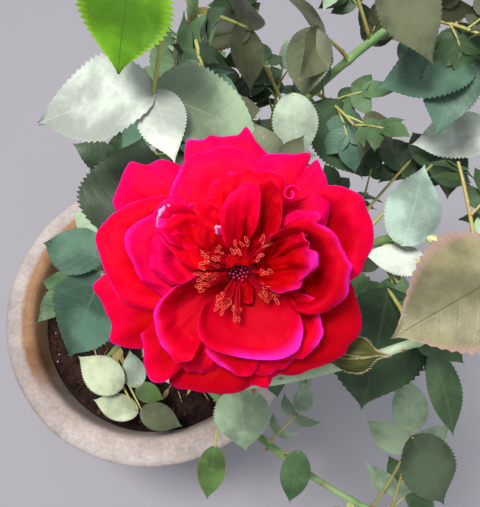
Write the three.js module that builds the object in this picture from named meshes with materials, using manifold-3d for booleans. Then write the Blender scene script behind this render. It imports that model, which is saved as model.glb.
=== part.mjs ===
// A red rose bush grown in a clay pot, with one open bloom and one bud beside it.
// Millimetres, +Z up. The origin is the middle of the pot's flat underside, and -Y is the front.
// Canes rise from a knotted crown in the soil. Each cane is a bare bough below and a leafy shoot above.
// A leaf is a stalk with pairs of toothed leaflets and one at its end.
import * as THREE from "three";
import { mergeVertices } from "three/addons/utils/BufferGeometryUtils.js";
import Module from "manifold-3d";

const wasm = await Module();
wasm.setup();

const GAP = 0.3; // air between two pieces that touch
const TURN = 2 * Math.PI;

const POT = {
  height: 250,
  footRadius: 98,
  bodyRadius: 131, // just under the collar
  rimRadius: 150,
  mouthRadius: 122,
  collar: 42, // height of the thick band round the mouth
  floor: 22,
  floorRadius: 82,
  round: 9, // how far the lip is rounded over
  facets: 32,
};
const DRAIN = { count: 3, radius: 7, out: 48 };
const SOIL = { edge: 211, middle: 224, rings: 5, lump: 2.4 };
const CROWN = { radius: 13, foot: 208, top: 243, facets: 7, stump: 17 };
const BOUGH = { sides: 5, stepLength: 24 };
const SHOOT = { sides: 4, stepLength: 24 };
const PRICKLE = { every: 42, length: 5.5, width: 3.4, sides: 3 };
const LEAF = {
  stalkRadius: 1.2,
  stalkSteps: 3,
  sunk: 1.5, // how far back inside the stalk a leaflet starts
  spread: 64, // degrees between the stalk and a side leaflet
  bend: 0.45, // radians that a leaflet curls down over its length
  thickness: 1.3,
  wide: 0.66, // a leaflet's width over its length
  stations: [0, 0.4, 0.76, 1],
  outline: [0, 1, 0.72, 0],
};
// The pairs of side leaflets: their place along the stalk, their length over the end one's, and their droop.
const PAIRS = {
  1: [],
  3: [[0.82, 0.9, 0.1]],
  5: [
    [0.38, 0.76, 0.3],
    [0.84, 0.9, 0.05],
  ],
};
const BLOOM = {
  at: [89, -49, 640],
  tilt: 15, // degrees that the bloom leans to the front
  petalThickness: 1,
  across: 3,
  along: 3,
};
const HIP = { length: 15, radius: 6.2, neck: 2.6 };
const SEPAL = { count: 5, length: 24, width: 7, turn: 20 };
const BUD = { from: [121, -74, 612], to: [149, -77, 619], radius: 7.4 };
const STAMENS = { count: 14, ring: 5.2, length: 11, anther: 1.4 };

// Petals by whorl, from the outermost. root is where a claw starts, out from the axis and up along it.
// rise is the blade's slope at its claw and at its lip in degrees, and cup and curl are the bend across it
// there in radians. Each petal is its heading in degrees, its reach and its width.
const WHORLS = [
  {
    root: [7, -1.5],
    rise: [22, -16],
    cup: 0.3,
    curl: -0.5,
    petals: [
      [144, 53, 38],
      [17, 49, 42],
      [-50, 45, 32],
      [-105, 46.5, 40],
      [-163, 53, 34],
    ],
  },
  {
    root: [6.5, 0.5],
    rise: [32, -16],
    cup: 0.35,
    curl: -0.4,
    petals: [
      [99, 48.5, 32],
      [53, 47, 42],
      [-28, 47, 38],
      [-79, 44.5, 24],
      [-136, 49, 30],
      [172, 52.5, 40],
    ],
  },
  {
    root: [6, 2],
    rise: [42, -4],
    cup: 0.5,
    curl: 0.1,
    petals: [
      [105, 43, 38],
      [168, 42, 30],
      [-138, 38, 36],
      [-110, 40.5, 24],
      [-40, 37, 28],
      [3, 40, 38],
    ],
  },
  {
    root: [6, 3],
    rise: [48, 4],
    cup: 0.6,
    curl: 0.2,
    petals: [
      [88, 37.5, 34],
      [150, 36, 26],
      [-90, 38.5, 32],
      [38, 34, 18],
    ],
  },
  {
    root: [6, 4],
    rise: [50, 16],
    cup: 0.7,
    curl: 0.35,
    petals: [
      [-76, 33, 36],
      [128, 31, 26],
      [58, 31, 22],
      [92, 27, 18],
      [5, 26, 20],
    ],
  },
];

// Each cane is one curve from its place on the crown: start, two handles (way and bend) and tip.
// bare is the share of it below the leaves, and radius is at the foot and at the tip.
// A placed leaf leaves the cane at a share of its length. Its leaflets spread from joint to their own tips.
// Where their width over their length isn't the usual one, wide gives it.
// more is how many others follow the seeded rule, between two shares of the cane.
const CANES = {
  bloom: {
    start: [0, 0, 240],
    way: [4, 8, 400],
    bend: [88, -6, 470],
    tip: [89, -44.2, 622],
    bare: 0.42,
    radius: [5.2, 2.6],
    placed: [{ at: 0.84, joint: [29, -16, 566], tips: [[37, 36, 580]] }],
    more: { count: 3, first: 200, seed: 11, from: 0.44, to: 0.66 },
  },
  arching: {
    start: [-2, -9, 238],
    way: [2, -92, 400],
    bend: [90, -112, 600],
    tip: [232, -42, 585],
    bare: 0.5,
    radius: [4.8, 2.4],
    placed: [
      { at: 0.97, joint: [201, -52, 619], tips: [[148, -75, 628]], wide: 0.95 },
      { at: 0.9, joint: [182, -71, 562], tips: [[203, -118, 539]], wide: 0.3 },
      { at: 0.86, joint: [163, -40, 560], tips: [[154, -100, 534]] },
      { at: 0.56, joint: [88, -82, 414], tips: [[94, -131, 402]], wide: 0.8 },
    ],
    more: { count: 2, first: 20, seed: 23, from: 0.9, to: 1 },
  },
  low: {
    start: [5, -8, 237],
    way: [40, -62, 325],
    bend: [110, -140, 332],
    tip: [210, -182, 335],
    bare: 0.4,
    radius: [4.4, 2.2],
    placed: [
      { at: 0.99, joint: [212, -111, 406], tips: [[208, -74, 422]], leaflets: 5 },
      { at: 0.94, joint: [204, -115, 437], tips: [[232, -165, 423]] },
      { at: 0.62, joint: [134, -97, 400], tips: [[136, -80, 415]], leaflets: 5 },
      { at: 0.66, joint: [135, -129, 360], tips: [[128, -173, 349]], wide: 0.52 },
      { at: 0.44, joint: [68, -127, 330], tips: [[60, -175, 317]], wide: 0.48 },
    ],
    more: { count: 3, first: 180, seed: 37, from: 0.86, to: 1 },
  },
  right: {
    start: [9, 1, 237],
    way: [72, 0, 350],
    bend: [140, 0, 440],
    tip: [190, 0, 540],
    bare: 0.42,
    radius: [4.6, 2.2],
    placed: [
      { at: 0.96, joint: [181, -7, 528], tips: [[195, 37, 544]] },
      { at: 0.9, joint: [195, -18, 520], tips: [[160, -7, 517]] },
      { at: 0.8, joint: [222, 63, 505], tips: [[223, 31, 496]], leaflets: 3 },
      { at: 0.74, joint: [209, 70, 486], tips: [[181, 50, 481]], leaflets: 3 },
    ],
    more: { count: 4, first: -40, seed: 41, from: 0.45, to: 0.72 },
  },
  back_right: {
    start: [6, 8, 237],
    way: [42, 44, 370],
    bend: [112, 104, 500],
    tip: [200, 120, 580],
    bare: 0.45,
    radius: [4.8, 2.2],
    placed: [
      { at: 1, joint: [239, 63, 526], tips: [[192, 60, 525]] },
      { at: 0.97, joint: [157, 100, 618], tips: [[185, 60, 608]] },
      { at: 0.93, joint: [214, 82, 572], tips: [[161, 72, 570]], leaflets: 3 },
      { at: 0.84, joint: [129, 104, 568], tips: [[124, 67, 558]], leaflets: 3 },
      { at: 0.74, joint: [117, 64, 567], tips: [[121, 28, 558]] },
      { at: 0.7, joint: [133, 74, 539], tips: [[166, 33, 528]] },
    ],
    more: { count: 4, first: 10, seed: 53, from: 0.48, to: 0.7 },
  },
  back: {
    start: [-1, 9, 238],
    way: [14, 60, 380],
    bend: [76, 112, 520],
    tip: [64, 104, 655],
    bare: 0.5,
    radius: [5, 2.2],
    placed: [
      { at: 0.97, joint: [53, 29, 630], tips: [[60, 17, 591], [2, 20, 623], [95, 22, 612]] },
      { at: 1, joint: [51, 57, 674], tips: [[40, 22, 655]], wide: 0.9 },
      { at: 0.84, joint: [94, 104, 568], tips: [[53, 101, 567]], leaflets: 3 },
    ],
    more: { count: 4, first: 100, seed: 67, from: 0.54, to: 0.9 },
  },
  back_left: {
    start: [-7, 6, 237],
    way: [-20, 62, 320],
    bend: [10, 128, 370],
    tip: [20, 150, 430],
    bare: 0.42,
    radius: [4.2, 2],
    placed: [],
    more: { count: 5, first: 60, seed: 72, from: 0.46, to: 1 },
  },
  left: {
    start: [-9, -2, 237],
    way: [-34, 2, 320],
    bend: [-34, 6, 400],
    tip: [6, 2, 500],
    bare: 0.45,
    radius: [4.2, 2],
    placed: [
      { at: 0.98, joint: [10, -14, 521], tips: [[-32, 0, 517]] },
      { at: 0.92, joint: [10, -23, 518], tips: [[-21, -73, 489]] },
    ],
    more: { count: 3, first: 80, seed: 83, from: 0.48, to: 0.8 },
  },
  basal: {
    start: [-7, -6, 236],
    way: [-24, -24, 250],
    bend: [-34, -40, 262],
    tip: [-44, -50, 262],
    bare: 0.45,
    radius: [3, 1.8],
    placed: [
      { at: 1, joint: [-30, -61, 260], tips: [[-68, -49, 258]] },
      { at: 0.9, joint: [-12, -87, 258], tips: [[-55, -89, 252]] },
      { at: 0.8, joint: [3, -96, 260], tips: [[32, -113, 261]] },
    ],
    more: { count: 0, first: 30, seed: 97, from: 0.6, to: 1 },
  },
};
const RULE = { size: [42, 32], reach: [102, 76], rise: 42, droop: 0.3, step: 137.5, loose: 0.25, tries: 6 };

const vector = (place) => new THREE.Vector3(...place);
const radians = THREE.MathUtils.degToRad;
const mix = THREE.MathUtils.lerp;
const UP = new THREE.Vector3(0, 0, 1);

// Park and Miller's random numbers, from 0 to 1, the same on every run.
function dice(seed) {
  let state = seed;
  return () => {
    state = (state * 16807) % 2147483647;
    return state / 2147483647;
  };
}

// A closed geometry as a solid, its corners merged.
function solid(geometry) {
  const bare = geometry.clone();
  bare.deleteAttribute("normal");
  bare.deleteAttribute("uv");
  const merged = mergeVertices(bare, 1e-4);
  return new wasm.Manifold(
    new wasm.Mesh({
      numProp: 3,
      vertProperties: merged.attributes.position.array,
      triVerts: new Uint32Array(merged.index.array),
    }),
  );
}

// Joins solids into one and fills any hollow that they seal in.
function fuse(solids) {
  const joined = wasm.Manifold.union(solids);
  return wasm.Manifold.union(joined.decompose().filter((body) => body.volume() > 0));
}

// The largest body of a solid, without the scraps that a cut leaves.
function largest(made) {
  return made.decompose().reduce((a, b) => (a.volume() > b.volume() ? a : b));
}

// A solid as a named mesh.
function meshOf(name, made, material) {
  const { vertProperties, triVerts } = made.getMesh();
  const geometry = new THREE.BufferGeometry()
    .setAttribute("position", new THREE.BufferAttribute(vertProperties, 3))
    .setIndex(new THREE.BufferAttribute(triVerts, 1));
  geometry.computeVertexNormals();
  const mesh = new THREE.Mesh(geometry, material);
  mesh.name = name;
  return mesh;
}

// Moves every vertex of a geometry by a rule that takes and changes a vector.
function reshape(geometry, rule) {
  const position = geometry.attributes.position;
  const vertex = new THREE.Vector3();
  for (let i = 0; i < position.count; i++) {
    vertex.fromBufferAttribute(position, i);
    rule(vertex);
    position.setXYZ(i, vertex.x, vertex.y, vertex.z);
  }
  return geometry;
}

// A closed shape turned about the Z axis, from [radius, height] points that rise on the outside.
function turned(profile, facets) {
  const points = profile.map(([radius, height]) => new THREE.Vector2(radius, height));
  return new THREE.LatheGeometry(points, facets).rotateX(Math.PI / 2);
}

// The part of a curve between two shares of its length.
class Stretch extends THREE.Curve {
  constructor(whole, from, to) {
    super();
    Object.assign(this, { whole, from, to });
  }
  getPoint(share, target = new THREE.Vector3()) {
    return this.whole.getPointAt(mix(this.from, this.to, share), target);
  }
}

// A round limb along a curve, its radius given by the share of the way along it.
function limb(path, radiusAt, sides, steps) {
  const frames = path.computeFrenetFrames(steps);
  const rod = new THREE.CylinderGeometry(1, 1, steps, sides, steps);
  return solid(
    reshape(rod, (vertex) => {
      const step = Math.round(vertex.y + steps / 2);
      const radius = radiusAt(step / steps);
      const { x, z } = vertex;
      vertex
        .copy(path.getPointAt(step / steps))
        .addScaledVector(frames.normals[step], x * radius)
        .addScaledVector(frames.binormals[step], -z * radius);
    }),
  );
}

// A blade from root along a heading, its flat upper face towards lift and a keel below, curled down.
function blade(root, heading, lift, length, width, bend = LEAF.bend) {
  const along = heading.clone().normalize();
  const up = lift.clone().addScaledVector(along, -lift.dot(along)).normalize();
  const across = new THREE.Vector3().crossVectors(up, along);
  const rows = LEAF.stations.length - 1;
  return solid(
    reshape(new THREE.SphereGeometry(1, 3, rows, -Math.PI / 2), (vertex) => {
      const row = Math.round((Math.acos(THREE.MathUtils.clamp(vertex.y, -1, 1)) / Math.PI) * rows);
      const side = Math.round(vertex.x);
      const keel = row % rows && side === 0 ? LEAF.thickness : 0;
      const share = LEAF.stations[row];
      const half = (LEAF.outline[row] * width) / 2;
      const turn = bend * share;
      vertex
        .copy(root)
        .addScaledVector(along, (length * Math.sin(turn)) / bend)
        .addScaledVector(across, half * side)
        .addScaledVector(up, (-length * (1 - Math.cos(turn))) / bend - keel);
    }),
  );
}

// A whole leaf: a stalk from root to joint, pairs of leaflets along it, and others that spread at the joint.
function leaf({ root, joint, tips, leaflets = 1, wide = LEAF.wide, roll = 0 }) {
  const knee = root.clone().lerp(joint, 0.5).addScaledVector(UP, 0.12 * root.distanceTo(joint));
  const stalk = new THREE.QuadraticBezierCurve3(root, knee, joint);
  const parts = [limb(stalk, (share) => LEAF.stalkRadius * (1.15 - 0.3 * share), 3, LEAF.stalkSteps)];
  const upAt = (heading) =>
    UP.clone()
      .addScaledVector(heading, -UP.dot(heading))
      .normalize()
      .applyAxisAngle(heading, radians(roll));
  const leaflet = (point, heading, up, length) => {
    const foot = point.clone().addScaledVector(heading, -LEAF.sunk);
    parts.push(blade(foot, heading, up, length + LEAF.sunk, length * wide));
  };
  for (const [share, scale, droop] of PAIRS[leaflets]) {
    const heading = stalk.getTangentAt(share);
    const up = upAt(heading);
    for (const side of [-1, 1]) {
      const out = heading.clone().applyAxisAngle(up, side * radians(LEAF.spread));
      out.addScaledVector(up, -droop).normalize();
      leaflet(stalk.getPointAt(share), out, up, scale * joint.distanceTo(tips[0]));
    }
  }
  for (const tip of tips) {
    const heading = tip.clone().sub(joint).normalize();
    leaflet(joint, heading, upAt(heading), joint.distanceTo(tip));
  }
  return fuse(parts);
}

// The leaves of one cane that go round it by the golden angle. A leaf that would touch another is turned
// to another place up to a few times, and left off when none of them is free.
function ruledLeaves(cane, path, isFree) {
  const { count, first, seed, from, to } = cane.more;
  const made = [];
  for (let i = 0; i < count; i++) {
    const roll = dice(seed * 1000 + i * 77 + 1);
    const swing = (amount) => 1 + amount * (roll() - 0.5);
    const young = (i + 0.5) / count;
    const share = mix(from, to, young);
    const root = path.getPointAt(share);
    const axis = path.getTangentAt(share);
    for (let attempt = 0; attempt < RULE.tries; attempt++) {
      const heading = radians(first + RULE.step * i + (30 + 40 * attempt) * (roll() - 0.5));
      const flat = new THREE.Vector3(Math.cos(heading), Math.sin(heading), 0);
      const out = flat.addScaledVector(axis, -flat.dot(axis)).normalize();
      const rise = radians(RULE.rise) * swing(RULE.loose);
      const reach = mix(...RULE.reach, young) * swing(RULE.loose);
      const end = root
        .clone()
        .addScaledVector(out, reach * Math.cos(rise))
        .addScaledVector(axis, reach * Math.sin(rise) * 0.6)
        .addScaledVector(UP, -RULE.droop * reach * roll());
      const size = mix(...RULE.size, young) * swing(RULE.loose);
      const joint = end.clone().lerp(root, size / end.distanceTo(root));
      const grown = leaf({
        root,
        joint,
        tips: [end],
        leaflets: young > 0.6 ? 3 : 5,
        roll: 24 * (roll() - 0.5),
      });
      if (!isFree(grown, made)) continue;
      made.push(grown);
      break;
    }
  }
  return made;
}

// The bloom's own frame: its axis along local +Z, its top to local +Y.
const bloomPlace = new THREE.Matrix4()
  .makeRotationX(radians(BLOOM.tilt))
  .setPosition(...BLOOM.at);

// One petal: a blade with a narrow claw and a broad lip, bent along its length and across it.
function petal(whorl, [heading, reach, width]) {
  const [slopeFoot, slopeTip] = whorl.rise.map(radians);
  const sweep = slopeTip - slopeFoot;
  const length = ((reach - whorl.root[0]) * sweep) / (Math.sin(slopeTip) - Math.sin(slopeFoot));
  const { across, along, petalThickness } = BLOOM;
  const grid = new THREE.BoxGeometry(2, 1, 1, across, along, 1);
  return reshape(grid, (vertex) => {
    const u = vertex.x;
    const lip = vertex.y + 0.5;
    const v = lip * (1 - 0.17 * u * u * lip * lip);
    const rising = Math.min(lip / 0.62, 1);
    const falling = Math.max((lip - 0.62) / 0.38, 0);
    const half =
      (width / 2) * (0.22 + 0.78 * Math.sin((rising * Math.PI) / 2)) * Math.sqrt(1 - 0.5 * falling ** 2);
    const slope = slopeFoot + sweep * v;
    const bend = mix(whorl.cup, whorl.curl, lip * lip) || 1e-6;
    const side = (-half * Math.sin(bend * u)) / bend;
    const raised = (half * (1 - Math.cos(bend * u))) / bend + petalThickness * vertex.z;
    const out = whorl.root[0] + (length * (Math.sin(slope) - Math.sin(slopeFoot))) / sweep;
    const up = whorl.root[1] + (length * (Math.cos(slopeFoot) - Math.cos(slope))) / sweep;
    vertex.set(
      out - raised * Math.sin(slope),
      side,
      up + raised * Math.cos(slope),
    );
    vertex.applyAxisAngle(UP, radians(heading));
  });
}

function bloomPetals() {
  const petals = WHORLS.flatMap((whorl) => whorl.petals.map((one) => solid(petal(whorl, one))));
  const seat = solid(
    turned(
      [
        [0, -3],
        [6, -3],
        [8.5, 0.5],
        [7, 4.5],
        [0, 5.5],
      ],
      14,
    ),
  );
  return fuse([seat, ...petals]);
}

// The stamens that stand clear in the middle, on their own small disc.
function bloomHeart() {
  const disc = turned(
    [
      [0, 5.5 + GAP],
      [1.6, 5.5 + GAP],
      [STAMENS.ring - 1.2, 7],
      [STAMENS.ring - 0.9, 8.5],
      [0, 9.5],
    ],
    12,
  );
  const parts = [solid(disc)];
  for (let i = 0; i < STAMENS.count; i++) {
    const heading = (i * TURN) / STAMENS.count;
    const inner = i % 2;
    const foot = new THREE.Vector3(STAMENS.ring - 2 - 1.6 * inner, 0, 7.5);
    const top = foot.clone().add(new THREE.Vector3(8.5 - 5 * inner, 0, STAMENS.length));
    const thread = new THREE.LineCurve3(foot, top);
    const rod = limb(thread, () => 0.45, 3, 1);
    const anther = solid(new THREE.OctahedronGeometry(STAMENS.anther).translate(...top.toArray()));
    parts.push(fuse([rod, anther]).rotate([0, 0, (heading * 360) / TURN]));
  }
  return fuse(parts);
}

// The green hip under the bloom with its five sepals turned back.
function bloomHip() {
  const base = -HIP.length - 3 - GAP;
  const urn = turned(
    [
      [0, base],
      [HIP.neck, base],
      [HIP.radius, base + 0.45 * HIP.length],
      [HIP.radius * 0.78, base + HIP.length * 0.8],
      [HIP.radius * 0.95, -3 - GAP],
      [0, -3 - GAP],
    ],
    10,
  );
  const parts = [solid(urn)];
  for (let i = 0; i < SEPAL.count; i++) {
    const heading = radians(SEPAL.turn + (i * 360) / SEPAL.count);
    const out = new THREE.Vector3(Math.cos(heading), Math.sin(heading), -0.35);
    const foot = out.clone().setZ(0).multiplyScalar(2.5).setZ(-5);
    parts.push(blade(foot, out, UP, SEPAL.length, SEPAL.width, 0.8));
  }
  return fuse(parts);
}

// A turned shape that stands on a point and leans along a direction.
function stand(geometry, foot, direction) {
  const lean = new THREE.Quaternion().setFromUnitVectors(UP, direction.clone().normalize());
  return geometry.applyQuaternion(lean).translate(...foot.toArray());
}

// The closed bud in its green sepals.
function bud() {
  const foot = vector(BUD.from);
  const axis = vector(BUD.to).sub(foot);
  const length = axis.length();
  const { radius } = BUD;
  const profile = [
    [0, 0],
    [2.2, 0],
    [radius * 0.62, length * 0.12],
    [radius * 0.5, length * 0.22],
    [radius * 0.95, length * 0.4],
    [radius, length * 0.52],
    [radius * 0.66, length * 0.76],
    [radius * 0.2, length * 0.95],
    [0, length],
  ];
  return solid(stand(turned(profile, 10), foot, axis));
}

// The radius of the pot's inner wall at a height.
const innerWall = (height) =>
  mix(POT.floorRadius, POT.mouthRadius - 4, (height - POT.floor) / (POT.height - POT.collar - POT.floor));

// The pot: a thick cone with a heavy rolled collar and drain holes through its floor.
function pot() {
  const lip = POT.height;
  const shoulder = lip - POT.collar;
  const { round } = POT;
  const corner = (centreRadius, centreHeight, from) =>
    [0, 1, 2].map((i) => {
      const turn = radians(from + 45 * i);
      return [centreRadius + round * Math.cos(turn), centreHeight + round * Math.sin(turn)];
    });
  const body = turned(
    [
      [0, 0],
      [POT.footRadius - 3, 0],
      [POT.footRadius, 3],
      [POT.bodyRadius, shoulder - 8],
      [POT.rimRadius - 6, shoulder - 4],
      [POT.rimRadius, shoulder + 6],
      ...corner(POT.rimRadius - round, lip - round, 0),
      ...corner(POT.mouthRadius + round, lip - round, 90),
      [innerWall(shoulder), shoulder],
      [POT.floorRadius, POT.floor],
      [0, POT.floor],
    ],
    POT.facets,
  );
  const holes = Array.from({ length: DRAIN.count }, (_, i) => {
    const hole = new THREE.CylinderGeometry(DRAIN.radius, DRAIN.radius, 3 * POT.floor, 12);
    const turn = (i * TURN) / DRAIN.count;
    return solid(
      hole
        .rotateX(Math.PI / 2)
        .translate(DRAIN.out * Math.cos(turn), DRAIN.out * Math.sin(turn), 0),
    );
  });
  return solid(body).subtract(fuse(holes));
}

// Moist soil that fills the pot to below its collar, lumpy on top and hollowed for the crown's foot.
function soil(crown) {
  const roll = dice(7);
  const top = [];
  for (let ring = 1; ring < SOIL.rings; ring++) {
    const share = ring / SOIL.rings;
    top.push([innerWall(SOIL.edge) * (1 - share), mix(SOIL.edge, SOIL.middle, Math.sqrt(share))]);
  }
  const fill = turned(
    [
      [0, POT.floor + GAP],
      [POT.floorRadius - GAP, POT.floor + GAP],
      [innerWall(SOIL.edge) - 2 * GAP, SOIL.edge],
      ...top,
      [0, SOIL.middle],
    ],
    POT.facets,
  );
  const lumps = new Map();
  reshape(fill, (vertex) => {
    const inside = Math.hypot(vertex.x, vertex.y) < innerWall(SOIL.edge) - 6;
    if (vertex.z < SOIL.edge || !inside) return;
    const place = [vertex.x, vertex.y].map((value) => value.toFixed(1).replace("-0.0", "0.0")).join();
    if (!lumps.has(place)) lumps.set(place, SOIL.lump * (2 * roll() - 1));
    vertex.z += lumps.get(place);
  });
  const hollow = new THREE.CylinderGeometry(CROWN.radius + GAP, CROWN.radius + GAP, 60, CROWN.facets)
    .rotateX(Math.PI / 2)
    .translate(0, 0, CROWN.foot - GAP + 30);
  return solid(fill).subtract(solid(hollow)).subtract(crown);
}

// A cane's curve, walked by the share of its length.
function pathOf(cane) {
  const path = new THREE.CubicBezierCurve3(
    vector(cane.start),
    vector(cane.way),
    vector(cane.bend),
    vector(cane.tip),
  );
  path.arcLengthDivisions = 400;
  return path;
}

const stepCount = (length, stepLength) => Math.max(2, Math.round(length / stepLength));

// The knotted foot of the bush with a short stump for each cane.
function crown(paths) {
  const { radius, foot, top } = CROWN;
  const knot = turned(
    [
      [0, foot],
      [radius * 0.8, foot],
      [radius, foot + 6],
      [radius * 0.86, foot + 0.6 * (top - foot)],
      [radius * 1.02, top - 6],
      [radius * 0.7, top],
      [0, top + 1],
    ],
    CROWN.facets,
  );
  const stumps = Object.entries(paths).map(([name, path]) => {
    const end = CROWN.stump / path.getLength();
    const thick = CANES[name].radius[0];
    return limb(new Stretch(path, 0, end), (share) => thick * (1.3 - 0.3 * share), BOUGH.sides, 1);
  });
  return fuse([solid(knot), ...stumps]);
}

// Thorns that point out and a little down from a bough.
function prickles(path, from, to, radiusAt) {
  const length = path.getLength() * (to - from);
  const count = Math.floor(length / PRICKLE.every);
  return Array.from({ length: count }, (_, i) => {
    const share = (i + 0.5) / count;
    const at = mix(from, to, share);
    const axis = path.getTangentAt(at);
    const across = new THREE.Vector3(1, 0, 0).cross(axis).normalize();
    const out = across.applyAxisAngle(axis, radians(137.5 * i)).addScaledVector(axis, -0.25).normalize();
    const foot = path.getPointAt(at).addScaledVector(out, radiusAt(share) * 0.6);
    const cone = new THREE.ConeGeometry(PRICKLE.width / 2, PRICKLE.length, PRICKLE.sides)
      .rotateX(Math.PI / 2)
      .translate(0, 0, PRICKLE.length / 2);
    return solid(stand(cone, foot, out));
  });
}

const MATERIALS = {
  clay: new THREE.MeshStandardMaterial({ color: 0xc9bfb4, roughness: 0.85 }),
  soil: new THREE.MeshStandardMaterial({ color: 0x3a2a24, roughness: 0.95 }),
  wood: new THREE.MeshStandardMaterial({ color: 0x6b6a4a, roughness: 0.75 }),
  cane: new THREE.MeshStandardMaterial({ color: 0x6f9a5e, roughness: 0.55 }),
  foliage: new THREE.MeshStandardMaterial({ color: 0x35563a, roughness: 0.45 }),
  petal: new THREE.MeshStandardMaterial({ color: 0xd4052c, roughness: 0.6 }),
  stamen: new THREE.MeshStandardMaterial({ color: 0xd9622e, roughness: 0.7 }),
  sepal: new THREE.MeshStandardMaterial({ color: 0x5d7a3a, roughness: 0.55 }),
};

// Whether a solid has air between itself and all others.
const apart = (one, others) => others.every((other) => one.minGap(other, 2) > GAP);

const bush = new THREE.Group();
const placed = []; // every solid so far, which later leaves keep clear of
function add(name, made, material) {
  placed.push(made);
  bush.add(meshOf(name, made, material));
}
const clear = (made) => apart(made, placed);

const paths = Object.fromEntries(Object.entries(CANES).map(([name, cane]) => [name, pathOf(cane)]));
const crownSolid = crown(paths);
add("pot", pot(), MATERIALS.clay);
add("soil", largest(soil(crownSolid)), MATERIALS.soil);
add("root_crown", crownSolid, MATERIALS.wood);

add("bloom_petals", bloomPetals().transform(bloomPlace.elements), MATERIALS.petal);
add("bloom_heart", bloomHeart().transform(bloomPlace.elements), MATERIALS.stamen);
add("bloom_hip", bloomHip().transform(bloomPlace.elements), MATERIALS.sepal);
add("bud", bud(), MATERIALS.sepal);

// Boughs first, so that no leaf runs through one.
for (const [name, path] of Object.entries(paths)) {
  const { radius, bare } = CANES[name];
  const from = (CROWN.stump + GAP) / path.getLength();
  const thickness = (share) => mix(...radius, mix(from, bare, share));
  const count = stepCount(path.getLength() * (bare - from), BOUGH.stepLength);
  const wood = limb(new Stretch(path, from, bare), thickness, BOUGH.sides, count);
  add(`bough_${name}`, fuse([wood, ...prickles(path, from, bare, thickness)]), MATERIALS.cane);
}

// Then the leafy shoots. The bloom's shoot also carries the bud's stalk.
const stems = {};
for (const [name, path] of Object.entries(paths)) {
  const { radius, bare } = CANES[name];
  const from = bare + GAP / path.getLength();
  const thickness = (share) => mix(...radius, mix(from, 1, share));
  const count = stepCount(path.getLength() * (1 - from), SHOOT.stepLength);
  const parts = [limb(new Stretch(path, from, 1), thickness, SHOOT.sides, count)];
  if (name === "bloom") {
    const foot = path.getPointAt(0.72);
    const axis = vector(BUD.to).sub(vector(BUD.from)).normalize();
    const end = vector(BUD.from).addScaledVector(axis, -GAP);
    const knee = end.clone().addScaledVector(axis, -30);
    const stalk = new THREE.QuadraticBezierCurve3(foot, knee, end);
    parts.push(limb(stalk, () => 1.9, SHOOT.sides, 5));
  }
  stems[name] = fuse(parts);
}
// The placed leaves come before the ones that follow the rule, which have to find free places.
const held = {};
for (const [name, path] of Object.entries(paths)) {
  held[name] = CANES[name].placed.map(({ at, joint, tips, ...form }) =>
    leaf({ root: path.getPointAt(at), joint: vector(joint), tips: tips.map(vector), ...form }),
  );
}
for (const [name, stem] of Object.entries(stems)) {
  const others = Object.keys(stems).filter((other) => other !== name);
  const around = others.flatMap((other) => [stems[other], ...held[other]]);
  const own = held[name];
  const isFree = (made, near) => clear(made) && apart(made, [...around, ...own, ...near]);
  const ruled = ruledLeaves(CANES[name], paths[name], isFree);
  add(`leaves_${name}`, fuse([stem, ...own, ...ruled]), MATERIALS.foliage);
}

export default bush;
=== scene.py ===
import math

import bmesh
import bpy
import numpy as np
from mathutils import Matrix, Vector, noise
from mathutils.bvhtree import BVHTree


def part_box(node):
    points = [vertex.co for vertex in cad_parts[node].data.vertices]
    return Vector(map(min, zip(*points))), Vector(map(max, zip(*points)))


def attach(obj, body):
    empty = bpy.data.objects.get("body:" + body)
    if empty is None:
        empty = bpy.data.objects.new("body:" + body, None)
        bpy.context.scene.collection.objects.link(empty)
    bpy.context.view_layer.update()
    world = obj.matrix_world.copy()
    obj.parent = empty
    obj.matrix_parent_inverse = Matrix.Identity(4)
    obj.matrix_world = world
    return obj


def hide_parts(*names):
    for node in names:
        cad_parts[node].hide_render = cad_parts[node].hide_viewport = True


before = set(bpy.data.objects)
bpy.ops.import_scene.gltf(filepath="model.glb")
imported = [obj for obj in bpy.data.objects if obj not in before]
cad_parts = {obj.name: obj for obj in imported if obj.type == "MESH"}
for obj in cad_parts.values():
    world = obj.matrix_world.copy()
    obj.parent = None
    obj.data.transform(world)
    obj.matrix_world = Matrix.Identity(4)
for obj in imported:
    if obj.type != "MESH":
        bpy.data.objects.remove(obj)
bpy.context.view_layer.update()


# The pot: a thick cone of porous clay with a heavy rolled collar, thrown on a wheel and fired. Its outside
# and its rim are limewashed and worn, its inside is bare clay, and three holes through the floor drain it.
def mix(a, b, share):
    return a + (b - a) * share


def bumps_at(place, bands):
    """Noise at a place: the sum of bands, each with its height and its fineness."""
    return sum(high * noise.noise(place * fine) for high, fine in bands)


def around(turn, out=1, height=0):
    """A point at a turn round the upright axis, at a distance from it and at a height."""
    return Vector((out * math.cos(turn), out * math.sin(turn), height))


def softened(corners, radius, longest=0.008, steps=4):
    """An outline with its inner corners rounded and its long runs cut into short ones."""
    points = [Vector(c) for c in corners]
    outline = [points[0]]
    for before, corner, after in zip(points, points[1:], points[2:]):
        near = min(radius, (corner - before).length / 2, (after - corner).length / 2)
        start = corner + (before - corner).normalized() * near
        end = corner + (after - corner).normalized() * near
        for i in range(steps + 1):
            share = i / steps
            outline.append(start.lerp(corner, share).lerp(corner.lerp(end, share), share))
    outline.append(points[-1])
    runs = [outline[0]]
    for point in outline[1:]:
        last = runs[-1]
        count = max(1, math.ceil((point - last).length / longest))
        runs += [last.lerp(point, (i + 1) / count) for i in range(count)]
    return runs


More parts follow.
